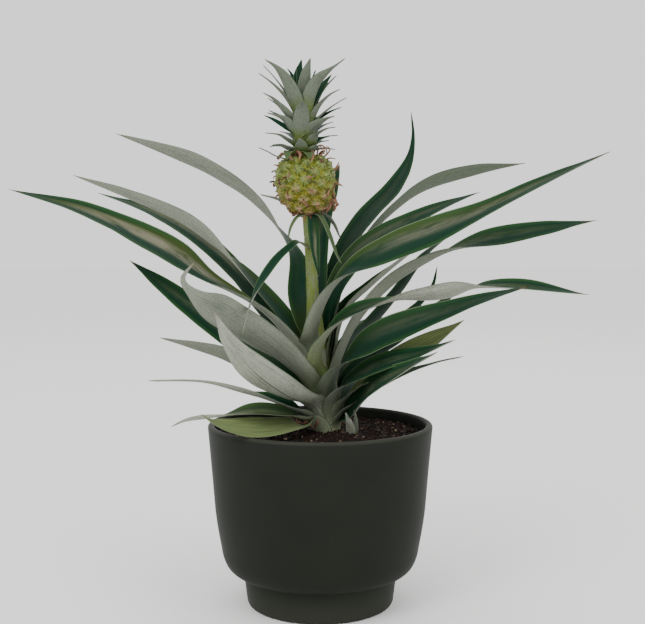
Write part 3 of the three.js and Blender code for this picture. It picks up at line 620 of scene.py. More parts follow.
def upperMaterial():
    # the leaf's waxy upper skin: dark green with a soft sheen, a teal middle with a tan band of painted
    # sheen, and fresh green margins
    material, node, surface = newMaterial("waxyLeafUpperSkin")
    own = bladePatterns(node)
    along, across, edge, veins, clouds, streak = (
        own[name] for name in ("along", "across", "edge", "veins", "clouds", "streak"))
    within = product(node, (along, 0.1, 0.35), (along, 1.0, 0.8))
    outer = product(node, (along, 0.3, 0.5), (along, 0.92, 0.68))
    tealShare = node("Math MULTIPLY_ADD", [streak, 0.45, 0.08])
    swing = node("MapRange", {
        "Value": along, "From Min": 0.4, "From Max": 0.9, "To Min": 1.2, "To Max": 0.1})
    at = [product(node, own["streakAt"], swing, far) for far in (-0.4, 1.0, 2.3)]
    colour = layers(
        node, blade, "upper",
        ("upperDeep", (veins, 0.4, 0.65, 0.7)),
        ("upperWarm", (clouds, 0.5, 0.75, 0.5)),
        ("teal", band(node, across, at[0], 0.55), within, tealShare),
        ("margin", (edge, 0.5, 0.88, 0.6)),
        ("olive", band(node, across, at[2], 0.45), within, streak),
        # painted sheen: a tan band down the middle of the outer blade, stronger on streaked leaves
        ("tan", band(node, across, at[1], 0.5), outer, (clouds, 0.32, 0.55), streak),
        # fresh green, which on the pale low leaf is painted light shining through the blade
        ("fresh", own["fresh"]),
        # painted shade: a leaf's own share darkens its whole upper skin
        ("upperDeep", own["deepTone"]),
        ("upperDeep", (veins, 0.58, 0.4, 0.4)),
        ("edge", (edge, 0.93, 0.98, 0.75)),
        ("foot", (along, 0.2, 0.02), own["greenFoot"]),
        ("dry", (along, 0.95, 0.995), own["dryTip"]))
    finishSkin(node, surface, colour, veins, *blade["upperFinish"])
    return material


def underMaterial():
    # the underside's silvery felt of tiny scales: pale, dull, lined with greener veins
    material, node, surface = newMaterial("scalyLeafUnderside")
    own = bladePatterns(node)
    along, edge, veins = own["along"], own["edge"], own["veins"]
    reach = node("Math MULTIPLY_ADD", [own["greenFoot"], 0.16, 0.2])
    colour = layers(
        node, blade, "under",
        ("underPale", own["pale"]),
        ("underVein", (veins, 0.45, 0.7, 0.6)),
        ("teal", (own["clouds"], 0.5, 0.75, 0.3)),
        ("underDark", (own["specks"], 0.42, 0.68, 0.27)),
        ("foot", (along, reach, 0.04), own["greenFoot"]),
        ("cream", (along, 0.07, 0.0, 0.6)),
        # painted shade: a leaf's own share darkens its whole underside
        ("underDark", own["deepTone"]),
        ("underDark", band(node, own["across"], 0.0, 0.05), own["midLine"], (along, 0.8, 0.5)),
        ("margin", (edge, 0.9, 0.98, 0.4)),
        ("dry", (along, 0.93, 0.995), own["dryTip"]))
    finishSkin(node, surface, colour, veins, *blade["underFinish"])
    return material


sweep = bladeTree()
upperSkin, underSkin = upperMaterial(), underMaterial()


def makeBlade(name, leaf, seed, grid=blade["grid"]):
    piece = newObject(name, ribMesh(name, leaf, grid[0]))
    shares = {carrier: float(leaf.get(key, usual)) for key, (carrier, usual) in bladeShares.items()}
    return grow(piece, sweep, {
        "Stations": grid[0], "Columns": grid[1],
        "Thickness": leaf.get("thickness", blade["thickness"]) * mm,
        "Ripple": leaf.get("ripple", blade["ripple"]) * 2 * mm,
        "Ripple spacing": blade["rippleSpacing"] * mm, "leafSeed": float(seed),
        "Upper finish": upperSkin, "Under finish": underSkin, **shares})


# each rib runs from the stem to the tip, in mm; width, roll and cup are evenly spaced along it, and a
# row without a roll or a cup takes none or the usual one
slimCup, shortCup = [55, 36, 30, 24, 15], [60, 38, 30, 26, 15]
backWidth, lowWidth = [16, 17, 17, 15, 10, 1.5], [15, 16, 16, 14, 9, 1.5]
# where a leaf sets a darker tone for its whole blade, that is painted shade
leaves = {
    "leaf_right_high": dict(rib=[[-5, -8, 154], [0, -12, 182], [14, -15, 204], [42, -20, 220],
        [71, -26, 232], [98, -34, 244], [123, -44, 257], [144, -54, 267], [161, -62, 275]],
        width=[19, 19, 22, 22, 16, 11, 1.5], roll=[-20, -5, 45, 58, 40, 32, 25],
        cup=[60, 42, 32, 30, 28, 24, 15], streak=0.5, foot=0.3, at=0.32),
    "leaf_left_high": dict(rib=[[-8, -1, 146], [-26.5, -5, 173.5], [-40.5, -8, 186.5], [-54.4, -10, 195],
        [-68.3, -11, 202.5], [-87.8, -14, 216.5], [-104, -16, 226], [-143, -21, 244.5],
        [-185, -26, 256.5]], width=[19, 18, 14, 12, 15, 23.5, 23.5, 20, 15.5, 8.5, 1.5],
        roll=[10, 10, -8, -40, -42, -36, -32, -20], cup=[60, 50, 48, 34, 28, 24, 15], streak=1.0, foot=0.2,
        at=-0.28),
    "leaf_left_front": dict(rib=[[-4, -8, 132], [-18, -23, 153], [-37, -41, 171], [-58, -53, 185.5],
        [-70, -60, 194], [-77, -62, 204], [-70, -60, 214]], width=[19, 20, 21, 22, 22, 21, 6, 1.2],
        roll=[10, 15, 30, 42, 45, 30, 20], cup=[60, 40, 30, 26, 24, 30, 15], pale=0.35, foot=0.7,
        line=0.2),
    "leaf_front_silver": dict(rib=[[-2, -9, 122], [-18, -29, 133], [-36, -49, 149], [-50, -65, 168],
        [-58, -75, 187]], width=[19, 25, 26, 22, 13, 1.5], roll=[0, 10, 22, 25, 15, 0],
        cup=[60, 38, 30, 26, 22, 15], pale=0.85, foot=0.3, line=0.9),
    "leaf_left_middle": dict(rib=[[-9, 2, 154], [-22, 5, 176], [-37, 9, 194], [-56, 14, 213.5],
        [-85, 24, 238], [-123, 34, 255], [-164, 45, 270]], width=[18, 18, 17.5, 16, 14, 10, 1.5],
        roll=[-10, -15, 0, 42, 42, 38, 30], streak=0.5, pale=0.3, at=-0.2),
    "leaf_left_back": dict(rib=[[-6, 6, 160], [-13.5, 14, 190], [-15, 27, 213], [-29, 43, 236],
        [-50, 61, 258], [-84, 80, 280], [-117, 94, 293], [-147, 105, 304]],
        width=[16, 15, 15, 17, 17, 15, 10, 1.5], roll=[-15, -40, 15, 48, 56, 60, 55, 45],
        cup=[60, 40, 30, 26, 26, 24, 22, 15], pale=0.35, streak=0.1, deep=0.1),
    "leaf_left_behind": dict(rib=[[-7, 5, 148], [-25, 9, 168], [-38, 14, 184], [-52, 24, 202.5],
        [-80, 41, 227.5], [-115, 63, 246.5], [-156, 85, 260.5]], width=[17, 16, 17, 17, 15, 10, 1.5],
        roll=[-5, -15, -20, -25, -25, -20, -10], streak=0.5, at=-0.3),
    "leaf_left_low": dict(rib=[[-8, -2, 128], [-24, -6, 144], [-50, -9, 163], [-80, -10, 186],
        [-106, -8, 206], [-117, -6, 214]], width=[18, 18, 18, 18, 16, 11, 1.5],
        roll=[-20, -45, -55, -58, -55, -50, -40], streak=0.2, at=-0.2),
    "leaf_right_front": dict(rib=[[-1, -10, 138], [1, -18, 162], [15, -25, 180], [40, -34, 190],
        [65, -43, 194], [89, -53, 199], [112, -63, 200], [147, -76, 196]],
        width=[24, 23, 19, 16, 14.5, 13.5, 10.5, 1.5], roll=[0, 5, 20, 28, 10, -30, -40, 10, 28, 25, 15],
        cup=[60, 38, 30, 28, 40, 40, 15], streak=0.3, pale=0.75, foot=1.0),
    "leaf_right_wide": dict(rib=[[5, -9, 126], [9, -19, 145], [20, -28, 158], [36, -39, 170],
        [53, -49, 178], [70, -59, 185], [87, -69, 192], [112, -84, 201]],
        width=[19, 20, 22, 21, 16.5, 10.5, 1.5], roll=[-10, 15, 55, 60, 50, 40, 25],
        cup=[60, 40, 30, 28, 26, 22, 15], streak=0.2, deep=0.3, at=0.25),
    "leaf_right_middle": dict(rib=[[8, -3, 134], [14, -7, 158], [25, -8, 181], [45, -8, 202],
        [70, -8, 216], [97, -6, 225], [125, -3, 231], [172, 2, 239]], width=[15, 11, 11, 14, 17, 13, 1.5],
        roll=[-20, -30, -45, -20, 40, 45, 30], streak=0.3, pale=0.2, foot=0.2, deep=0.15, at=0.3),
    "leaf_right_upright": dict(rib=[[2, 6, 160], [4, 14, 189], [10, 23, 206], [19, 36, 225], [32, 50, 243],
        [49, 64, 261], [62, 79, 284], [65, 88, 302], [64, 95, 318]],
        width=[16, 15, 16, 18, 18.5, 13, 4, 1.2], roll=[0, 0, 0, 5, 8, 8, 0], streak=0.1, deep=0.35),
    "leaf_right_back": dict(rib=[[5, 4, 152], [10, 12, 184], [17, 22, 205], [30, 36, 227], [49, 50, 247],
        [71, 64, 263], [99, 77, 273], [145, 95, 282]], width=[16, 15, 15, 16, 17, 12, 1.5],
        roll=[0, -20, -40, -45, -45, -45, -30], cup=[60, 38, 30, 26, 24, 22, 15], pale=0.1, deep=0.6),
    "leaf_right_inner": dict(rib=[[5, 2, 156], [8, 6, 188], [14, 11, 203], [25, 16, 218], [41, 22, 230],
        [58, 29, 239], [77, 35, 248], [106, 46, 259]], width=[16, 16, 17, 17, 14, 9, 1.5],
        roll=[0, 10, 30, 38, 35, 25, 15], streak=0.28, at=0.3, deep=0.15),
    "leaf_centre_back": dict(rib=[[-3, 7, 160], [-2, 16, 190], [-1, 30, 218], [2, 46, 243], [8, 57, 262],
        [13, 64, 278]], width=[15, 14, 13, 13, 13, 10, 2], cup=shortCup, streak=0.1),
    "leaf_right_low": dict(rib=[[8, -8, 120], [12, -18, 135], [21, -25, 144], [39, -43, 155],
        [59, -60, 163], [75, -71, 171]], width=backWidth, roll=[0, 30, 50, 50, 40, 25], cup=shortCup,
        streak=0.15),
    "leaf_right_lowest": dict(rib=[[12, -4, 112], [20, -12, 122], [30, -36, 138], [45, -64, 152],
        [64, -86, 166]], width=[15, 20, 22, 18, 12, 1.5], roll=[70, 66, 56, 50, 40, 25], cup=shortCup,
        streak=0.2),
    # its full fresh green is painted light: the glow of light through the backlit blade
    "leaf_right_pale": dict(rib=[[10, -6, 118], [24, -18, 138], [46, -33, 156], [68, -47, 170],
        [82, -56, 181]], width=[13, 14, 16, 16, 13, 1.5], roll=[0, 25, 50, 60, 55, 40], cup=slimCup,
        fresh=1.0, streak=0.0),
    "leaf_right_thin": dict(rib=[[11, -3, 114], [26, -10, 130], [50, -17, 145], [70, -22, 153],
        [86, -26, 157]], width=[12, 12, 11, 6, 2.5, 1.2], roll=[0, 20, 30, 25, 10], cup=slimCup),
    "leaf_right_strip": dict(rib=[[8, 2, 146], [15, 10, 180], [32, 16, 197], [50, 24, 212], [70, 36, 227]],
        width=[15, 17, 17, 14, 9, 1.5], roll=[0, -5, -12, -20, -25], cup=[60, 68, 68, 58, 40, 20]),
    "leaf_right_dark": dict(rib=[[9, 4, 136], [15, 9, 158], [34, 25, 174], [52, 40, 194], [70, 52, 217],
        [87, 61, 230]], width=[15, 15, 14, 12, 9, 1.5], cup=slimCup, streak=0.0),
    "leaf_right_hidden": dict(rib=[[10, 0, 125], [20, 4, 144], [48, 12, 163], [74, 20, 183],
        [95, 26, 199]], width=[15, 15, 15, 13, 8, 1.2], roll=[0, 10, 20, 20, 10], cup=slimCup, streak=0.0),
    "leaf_right_spike": dict(rib=[[9, 5, 127], [24, 18, 147], [46, 35, 168], [66, 44, 185], [75, 47, 197],
        [78, 48, 210]], width=[14, 14, 14, 11, 5, 1.2], roll=[0, 5, 10, 10, 5], cup=slimCup, streak=0.0),
    "leaf_left_narrow": dict(rib=[[-7, -4, 121], [-30, -12, 140], [-53, -18, 155], [-77, -22, 163],
        [-96, -25, 168]], width=[14, 14, 14, 12, 8, 1.2], roll=[10, 25, 45, 45, 30], cup=slimCup, pale=0.2,
        streak=0.3),
    "leaf_left_dry": dict(rib=[[-6, -5, 114], [-22, -10, 125], [-45, -14, 133], [-71, -13, 140],
        [-106, -8, 140]], width=[14, 14, 13, 6.5, 2.6, 2, 1.4], roll=[0, -15, 30, 40, 35],
        cup=[60, 55, 50, 36, 20], pale=0.6, dry=0.3),
    "leaf_left_arched": dict(rib=[[-4, -8, 111], [-14, -17, 119], [-35, -34, 125], [-56, -49, 125],
        [-76, -59, 124], [-84, -63, 121]], width=[14, 17, 18, 15, 6, 5, 1.4],
        roll=[0, -15, -20, -5, 40, 45], cup=[55, 34, 28, 24, 15], streak=0.4, pale=1.0, fresh=0.15),
    "leaf_rim": dict(rib=[[-2, -10, 110], [-14, -20, 114], [-30, -35, 115], [-47, -51, 117.5],
        [-60, -62, 123], [-67, -66, 129]], width=[18, 19, 19, 19, 13, 1.5], roll=[0, -16, -30, -32, -20],
        cup=[50, 30, 22, 18, 15], fresh=0.85, streak=0.1),
    "leaf_stub_green": dict(rib=[[21.2, -10, 106], [21.6, -14, 112], [21.4, -18, 118], [20.6, -20, 124]],
        width=[4, 3.8, 2.6, 0.9], cup=[40, 30, 20], azimuth=-90, sheath=0, fresh=0.6, foot=1.0),
    "leaf_stub_pale": dict(rib=[[19, -11, 105.5], [18.6, -15, 111], [17.2, -19, 117], [15.4, -21, 122.5]],
        width=[6.4, 6.4, 4, 0.9], cup=[40, 30, 20], azimuth=-90, sheath=0, pale=0.9, foot=0.3, dry=0.2),
    "leaf_back_left": dict(rib=[[-6, 8, 138], [-14, 27, 155], [-28, 54, 164], [-40, 76, 165],
        [-50, 94, 157]], width=backWidth, cup=slimCup),
    "leaf_back": dict(rib=[[-2, 10, 126], [-7, 34, 150], [-12, 66, 163], [-17, 94, 162], [-21, 118, 152]],
        width=backWidth, cup=slimCup),
    "leaf_back_inner": dict(rib=[[1, 8, 146], [1, 30, 170], [1, 62, 184], [0, 92, 183], [0, 120, 172]],
        width=[16, 16, 16, 14, 9, 1.5], cup=slimCup),
    "leaf_back_right": dict(rib=[[6, 8, 132], [16, 28, 154], [31, 55, 169], [43, 77, 173], [53, 96, 169]],
        width=backWidth, cup=slimCup),
    "leaf_back_right_low": dict(rib=[[6, 9, 112], [16, 30, 129], [29, 58, 138], [39, 82, 136],
        [46, 104, 127]], width=lowWidth, cup=slimCup),
    "leaf_back_left_low": dict(rib=[[-3, 9, 113], [-12, 32, 131], [-24, 62, 140], [-33, 87, 138],
        [-39, 109, 129]], width=lowWidth, cup=slimCup),
    "leaf_back_low": dict(rib=[[1, 10, 117], [0, 34, 140], [-1, 64, 153], [-3, 90, 154], [-4, 112, 148]],
        width=lowWidth, cup=slimCup),
}
bracts = {
    "bract_long": dict(rib=[[-7, -3, 221], [-13.4, -10, 225.3], [-19.4, -18, 221.2], [-25.6, -26, 215.3],
        [-31.8, -36, 206.2], [-37.2, -45, 195.8], [-41, -53, 185.6], [-44.2, -62, 171.8]],
        width=[5, 5.4, 5.6, 6, 5.6, 4.4, 1.2], roll=[-10, -25, -20, 40, 50], cup=[40, 30, 25, 20],
        pale=0.6, streak=0.0),
    "bract_left": dict(rib=[[-9, -2, 242.5], [-14, -8, 240.5], [-18, -11, 234], [-19.5, -13, 227]],
        width=[4, 3.6, 2.6, 1], cup=[30, 20], fresh=0.4, streak=0.0),
    "bract_right": dict(rib=[[-4, -2, 242.5], [0, -8, 241], [5, -11, 231], [9.5, -13, 219],
        [13, -14, 212]], width=[5, 4.6, 4, 3, 1.2], cup=[30, 20], fresh=0.3, streak=0.0),
    "bract_hanging": dict(rib=[[-6, -2, 243.5], [-5, -7, 241], [-4.3, -9, 232], [-3.2, -10, 220],
        [-1.8, -10.5, 210], [-1, -10.5, 204]], width=[5, 7.5, 7.5, 6.5, 4, 1], cup=[30, 30], streak=0.6,
        foot=0.0),
    "bract_grey": dict(rib=[[-3, 2, 242.5], [3, 3, 242], [8, 4, 237], [12.5, 5, 228]],
        width=[6, 6.4, 4.5, 1], roll=[0, -20], cup=[30, 20], pale=0.0, foot=0.2),
}


def makeLeaves():
    for seed, (node, leaf) in enumerate(leaves.items()):
        piece = makeBlade(node + "_blade", {"sheath": blade["sheath"], **leaf}, seed)
        finishPiece(piece, node)
    for seed, (node, bract) in enumerate(bracts.items()):
        piece = makeBlade(node + "_blade", bract, blade["bractSeed"] + seed, blade["bractGrid"])
        finishPiece(piece, node)


makeLeaves()
print("leaves and bracts made:", len(leaves) + len(bracts))


def tube(name, path, radii, rows, sides, shape=lambda angle, gone: 0 * angle):
    # a round skin along a path; shape adds to the radius from (angle, millimetres gone)
    centres, length = roundedPath(path, rows)
    t = np.linspace(0, 1, rows)
    along = eachUnit(np.gradient(centres, axis=0))
    side = eachUnit(np.cross(np.array([0, 1.0, 0.02]), along))
    over = np.cross(along, side)
    angles = np.arange(sides) * 2 * math.pi / sides
    radius = eased(radii, t)[:, None] + shape(angles[None], (t * length)[:, None])
    rings = centres[:, None] + radius[..., None] * (
        side[:, None] * np.cos(angles)[None, :, None] + over[:, None] * np.sin(angles)[None, :, None])
    return ringed(name, centres[0], rings, centres[-1])


def stalkShape(angle, gone):
    spacing = stalk["scarSpacing"]
    ridges = stalk["ridgeDepth"] * np.cos(stalk["ridges"] * angle + stalk["ridgeTwist"] * gone)
    offScar = (gone + stalk["scarSway"] * np.cos(angle + gone // spacing)) % spacing
    return ridges - stalk["scarDepth"] * np.exp(-((offScar - stalk["scarAt"]) / stalk["scarWidth"]) ** 2)


def stalkMaterial():
    # a fresh fleshy stem: smooth yellow-green under a grey bloom, tanned where it enters the fruit
    material, node, surface = newMaterial("bloomedStalkSkin")
    place = node("TexCoord").outputs["Object"]
    height = node("SeparateXYZ", [place]).outputs["Z"]
    stretched = node("Mapping", {"Vector": place, "Scale": (1, 1, 0.25)})
    streaks = node("TexNoise", {
        "Vector": stretched, "Scale": 1 / (stalk["streakWidth"] * mm), "Detail": 3.0})
    specks = node("TexNoise", {"Vector": place, "Scale": 1 / (stalk["speckSize"] * mm), "Detail": 1.0})
    sheathTop = stalk["sheathBelow"]
    tanned = band(node, height, stalk["topMiddle"] * mm, stalk["topHalf"] * mm)
    colour = layers(
        node, stalk, "low",
        ("bloom", (streaks, 0.4, 0.65, 0.85)),
        ("speck", (specks, 0.6, 0.72, 0.5)),
        ("sheath", (height, sheathTop * mm, (sheathTop - stalk["sheathFade"]) * mm)),
        ("top", tanned, (streaks, 0.42, 0.55)))
    finishSkin(node, surface, colour, streaks, *stalk["finish"])
    return material


def dryMaterial():
    # papery dried bract: pinkish tan with dark brown ends, quite dull
    material, node, surface = newMaterial("driedBractPaper")
    place = node("TexCoord").outputs["Object"]
    grain = node("TexNoise", {"Vector": place, "Scale": 1 / (dry["grainSize"] * mm), "Detail": 3.0})
    tone = ownValues(node, ["tone"])["tone"]
    colour = layers(node, dry, "light", ("dark", tone), ("pink", (grain, 0.45, 0.7, 0.6)))
    finishSkin(node, surface, colour, grain, *dry["finish"])
    return material


stalkSkin, dryBract = stalkMaterial(), dryMaterial()


def makeStalk():
    mesh = tube("fruitStalk", stalk["path"], stalk["radii"], stalk["rows"], stalk["sides"], stalkShape)
    mesh.materials.append(stalkSkin)
    return newObject("fruitStalk", mesh)


def driedShred(path, radii):
    mesh = tube("driedShred", path, radii, dry["rows"], dry["sides"])
    storeFields(mesh, {"tone": np.linspace(*dry["tones"], len(mesh.vertices))})
    mesh.materials.append(dryBract)
    return newObject("driedShred", mesh)


stem = joined("fruitStalk", [makeStalk()] + [driedShred(p, dry["footRadii"]) for p in dry["footShreds"]])
finishPiece(stem, "stalk")
print("stalk made")

# fruit
fruit = {
    "base": (-7.3, 0, 242), "top": (-10.6, 0, 279), "radius": 17, "squareness": (1.65, 3.4),
    "eyes": 66, "eyeRadius": 4.6, "relief": 2.0, "groove": 0.75, "grooveWidth": 0.6,
    "lip": 0.7, "lipDrop": 0.5, "lipTall": 0.9, "lipWide": 2.4,
    "dimple": 0.5, "dimpleRise": 1.1, "dimpleFlat": 0.6, "dimpleSpread": 1.2,
    "crease": 0.24, "creases": 7, "rows": 170, "sides": 250, "seed": 6,
    "tipsEach": 3, "tipLength": 6.2, "tipWidth": 0.75, "tipSides": 5, "tipSteps": 7,
    "tipOut": 0.9, "tipDown": 0.6, "tipRise": 0.55, "tipSizes": (0.35, 1),
    "sizedAt": [0, 0.25, 0.6, 0.9, 1], "sizedBy": [1.1, 1.15, 0.75, 0.8, 1.2],  # tip sizes up the fruit
    "rind": "#606d22", "gutter": "#8f8c1e", "eye": "#717f45", "glint": "#8c9460", "pink": "#8f6a55",
    # the dark olive is painted shade for the crease valleys
    "brown": "#6a4a1e", "creased": "#323c10", "mottleSize": 1.8, "fineSize": 0.7, "finish": (0.5, 0.3),
    "bract": {"rib": [[-18, 1, 248], [-27, 0, 252], [-37, -1, 254.5]], "width": [4, 3.4, 1],
              "roll": [20, 20], "cup": [25, 15], "streak": 0.0, "foot": 0.0},
    "bractSeed": 61, "bractGrid": (24, 5),
}
fruitAxis = Vector(fruit["top"]) - Vector(fruit["base"])


def barrel(share, angle, lift=0.0):
    # points on the fruit's barrel in its own upright frame, raised by lift
    square = np.where(share > 0.5, fruit["squareness"][1], fruit["squareness"][0])
    radius = fruit["radius"] * np.sqrt(np.clip(1 - np.abs(2 * share - 1) ** square, 0, 1))
    radius = radius + lift * np.sqrt(np.clip(1 - (2 * share - 1) ** 4, 0, 1))
    height = share * fruitAxis.length + lift * (2 * share - 1) * 0.6
    return np.stack([radius * np.cos(angle), radius * np.sin(angle), height], -1)


def fruitPlace(points):
    # from the fruit's upright frame to where it stands
    turn = np.array(Vector((0, 0, 1)).rotation_difference(fruitAxis).to_matrix())
    return points @ turn.T + np.array(fruit["base"])


def fruitEyes():
    # the eyes follow one spiral, each a golden angle on from the last
    k = np.arange(fruit["eyes"])
    share, angle = 0.02 + 0.96 * (k + 0.5) / fruit["eyes"], k * goldenAngle
    up = eachUnit(barrel(share + 0.01, angle) - barrel(share - 0.01, angle))
    sideways = np.stack([-np.sin(angle), np.cos(angle), 0 * angle], 1)
    return share, barrel(share, angle), up, sideways, np.cross(sideways, up)


def fruitRelief(points):
    # each eye is a dome with a fleshy lip below its dimple, parted from the next by a groove
    share, centres, up, sideways, out = fruitEyes()
    far = np.linalg.norm(points[:, None] - centres[None], axis=2)
    order = np.argsort(far, axis=1)[:, :2]
    mine = order[:, 0]
    near, second = (np.take_along_axis(far, order[:, i:i + 1], 1)[:, 0] for i in (0, 1))
    gap = (second - near) / 2
    off = points - centres[mine]
    rise, sway = (off * up[mine]).sum(1), (off * sideways[mine]).sum(1)
    turn = np.arctan2(rise, sway)
    lift = fruit["relief"] * np.clip(1 - (near / fruit["eyeRadius"]) ** 2, 0, 1)
    lift -= fruit["groove"] * np.exp(-(gap / fruit["grooveWidth"]) ** 2)
    tall, wide = (rise + fruit["lipDrop"]) / fruit["lipTall"], sway / fruit["lipWide"]
    lift += fruit["lip"] * np.exp(-tall ** 2 - wide ** 2)
    hollow = (rise - fruit["dimpleRise"]) ** 2 + fruit["dimpleFlat"] * sway ** 2
    lift -= fruit["dimple"] * np.exp(-hollow / fruit["dimpleSpread"])
    wave = np.cos(fruit["creases"] * turn + 2 * np.sin(3 * turn + mine)) * np.clip(near / 2, 0, 1)
    lift += fruit["crease"] * wave
    return lift, {"gap": gap, "near": near, "rise": rise, "low": 1 - share[mine], "wave": wave,
                  "eyeTone": (mine * 0.618) % 1}


def fruitMaterial():
    # a young rind: waxy green eyes greyed by bloom, yellow gutters, pink-brown dried middles, and painted
    # shade in the crease valleys
    material, node, surface = newMaterial("youngPineappleRind")
    place = node("TexCoord").outputs["Object"]
    own = ownValues(node, ("gap", "near", "rise", "low", "wave", "eyeTone"))
    mottle = node("TexNoise", {"Vector": place, "Scale": 1 / (fruit["mottleSize"] * mm), "Detail": 4.0})
    fine = node("TexNoise", {"Vector": place, "Scale": 1 / (fruit["fineSize"] * mm), "Detail": 2.0})
    lowHalf = product(node, (own["low"], 0.35, 0.8))
    driest = node("Math ADD", [lowHalf, own["eyeTone"]])
    colour = layers(
        node, fruit, "rind",
        ("eye", (own["near"], 3.6, 1.4, 0.6)),
        ("glint", (mottle, 0.53, 0.68, 0.65)),
        ("gutter", (own["gap"], 0.9, 0.1, 0.6)),
        # painted shade: darker olive in the valleys of each eye's creases
        ("creased", (own["wave"], 0.1, -0.8, 0.75)),
        ("gutter", lowHalf, (mottle, 0.55, 0.35, 0.6)),
        ("brown", lowHalf, (fine, 0.45, 0.62, 0.8)),
        ("pink", band(node, own["rise"], -0.4, 2.6), (own["near"], 3.2, 1.0), (driest, 0.45, 1.0),
         (fine, 0.38, 0.55)))
    finishSkin(node, surface, colour, mottle, *fruit["finish"])
    return material


def tipTree():
    # sets a tuft of curled dry tips on each point, out along its facing and up
    tree, given, node = newTree("bractTips", [
        ("Points", "Geometry"), ("Tips each", "Int"), ("Length", "Float"), ("Width", "Float"),
        ("Sides", "Int"), ("Steps", "Int"), ("Seed", "Int"), ("Finish", "Material")])
    spots = node("MeshToPoints", [given["Points"]])
    tufts = node("DuplicateElements", {"Geometry": spots, "Amount": given["Tips each"]}, domain="POINT")
    line = node("CurvePrimitiveLine", {"End": (0, 0, 1)})
    steps = node("ResampleCurve", {"Curve": line, "Count": given["Steps"]})
    curl = node("Math POWER", [node("SeparateXYZ", [node("InputPosition")]).outputs["Z"], 2.4])
    bent = node("SetPosition", {"Geometry": steps, "Offset": node("CombineXYZ", {
        "X": node("Math MULTIPLY", [curl, 0.75]), "Z": node("Math MULTIPLY", [curl, -0.45])})})
    spine = node("SplineParameter").outputs["Factor"]
    taper = node("Math POWER", [node("Math SUBTRACT", [1.02, spine]), 0.7])
    sized = node("SetCurveRadius", {"Curve": bent, "Radius": taper})
    toned = node("StoreNamedAttribute", {"Geometry": sized, "Name": "spine", "Value": spine})
    ring = node("CurvePrimitiveCircle", {
        "Resolution": given["Sides"], "Radius": node("Math DIVIDE", [given["Width"], given["Length"]])})
    spike = node("CurveToMesh", {"Curve": toned, "Profile Curve": ring, "Fill Caps": True})
    facing = node("InputNamedAttribute", {"Name": "facing"}, data_type="FLOAT_VECTOR")
    outward = node("AlignRotationToVector", {"Vector": facing}, axis="Z")
    sway = node("RandomValue", {"Min": (-0.75, -0.75, -3.2), "Max": (0.75, 0.75, 3.2), "Seed": given["Seed"]},
                data_type="FLOAT_VECTOR")
    swayed = node("RotateRotation", {"Rotation": outward, "Rotate By": node("EulerToRotation", [sway])},
                  rotation_space="LOCAL")
    size = node("InputNamedAttribute", {"Name": "size"})
    vary = node("RandomValue", {"Min": 0.45, "Max": 1.25, "Seed": 2})
    placed = node("InstanceOnPoints", {
        "Points": tufts, "Instance": spike, "Rotation": swayed,
        "Scale": product(node, size, vary, given["Length"])})
    own = node("RandomValue", {"Min": 0.0, "Max": 0.8, "Seed": 5})
    kept = node("StoreNamedAttribute", {"Geometry": placed, "Name": "ownTone", "Value": own},
                domain="INSTANCE")
    real = node("RealizeInstances", [kept])
    alongTip, ownTone = (node("InputNamedAttribute", {"Name": name}) for name in ("spine", "ownTone"))
    tone = node("Math MULTIPLY_ADD", [alongTip, 0.6, ownTone])
    final = node("StoreNamedAttribute", {"Geometry": real, "Name": "tone", "Value": tone})
    smooth = node("SetShadeSmooth", [final])
    node("GroupOutput", [node("SetMaterial", {"Geometry": smooth, "Material": given["Finish"]})])
    return tree


def makeFruit():
    share = (1 - np.cos(math.pi * np.arange(1, fruit["rows"]) / fruit["rows"])) / 2
    angle = np.arange(fruit["sides"]) * 2 * math.pi / fruit["sides"]
    share, angle = (a.ravel() for a in np.meshgrid(share, angle, indexing="ij"))
    lift, fields = fruitRelief(barrel(share, angle))
    rings = fruitPlace(barrel(share, angle, lift)).reshape(-1, fruit["sides"], 3)
    mesh = ringed("pineappleFruit", fruit["base"], rings, fruit["top"])
    ended = {name: np.concatenate([value[:1], value, value[-1:]]) for name, value in fields.items()}
    storeFields(mesh, ended)
    mesh.materials.append(fruitMaterial())
    rind = newObject("pineappleFruit", mesh)

    eyeShare, centres, up, sideways, out = fruitEyes()
    size = np.random.default_rng(fruit["seed"]).uniform(*fruit["tipSizes"], fruit["eyes"])
    size *= np.interp(eyeShare, fruit["sizedAt"], fruit["sizedBy"])
    roots = centres + out * fruit["tipOut"] - up * fruit["tipDown"]
    points = meshFrom("tipPoints", fruitPlace(roots) * mm, [])
    storeFields(points, {"facing": out + fruit["tipRise"] * up, "size": size})
    tips = grow(newObject("bractTips", points), tipTree(), {
        "Tips each": fruit["tipsEach"], "Length": fruit["tipLength"] * mm, "Width": fruit["tipWidth"] * mm,
        "Sides": fruit["tipSides"], "Steps": fruit["tipSteps"], "Seed": fruit["seed"], "Finish": dryBract})
    stray = makeBlade("strayBract", fruit["bract"], fruit["bractSeed"], fruit["bractGrid"])
    shreds = [driedShred(p, dry["shoulderRadii"]) for p in dry["shoulderShreds"]]
    shreds += [driedShred(p, dry["hookRadii"]) for p in dry["sideHooks"]]
    finishPiece(joined("pineappleFruit", [rind, tips, stray] + shreds), "fruit")


makeFruit()
print("fruit made")

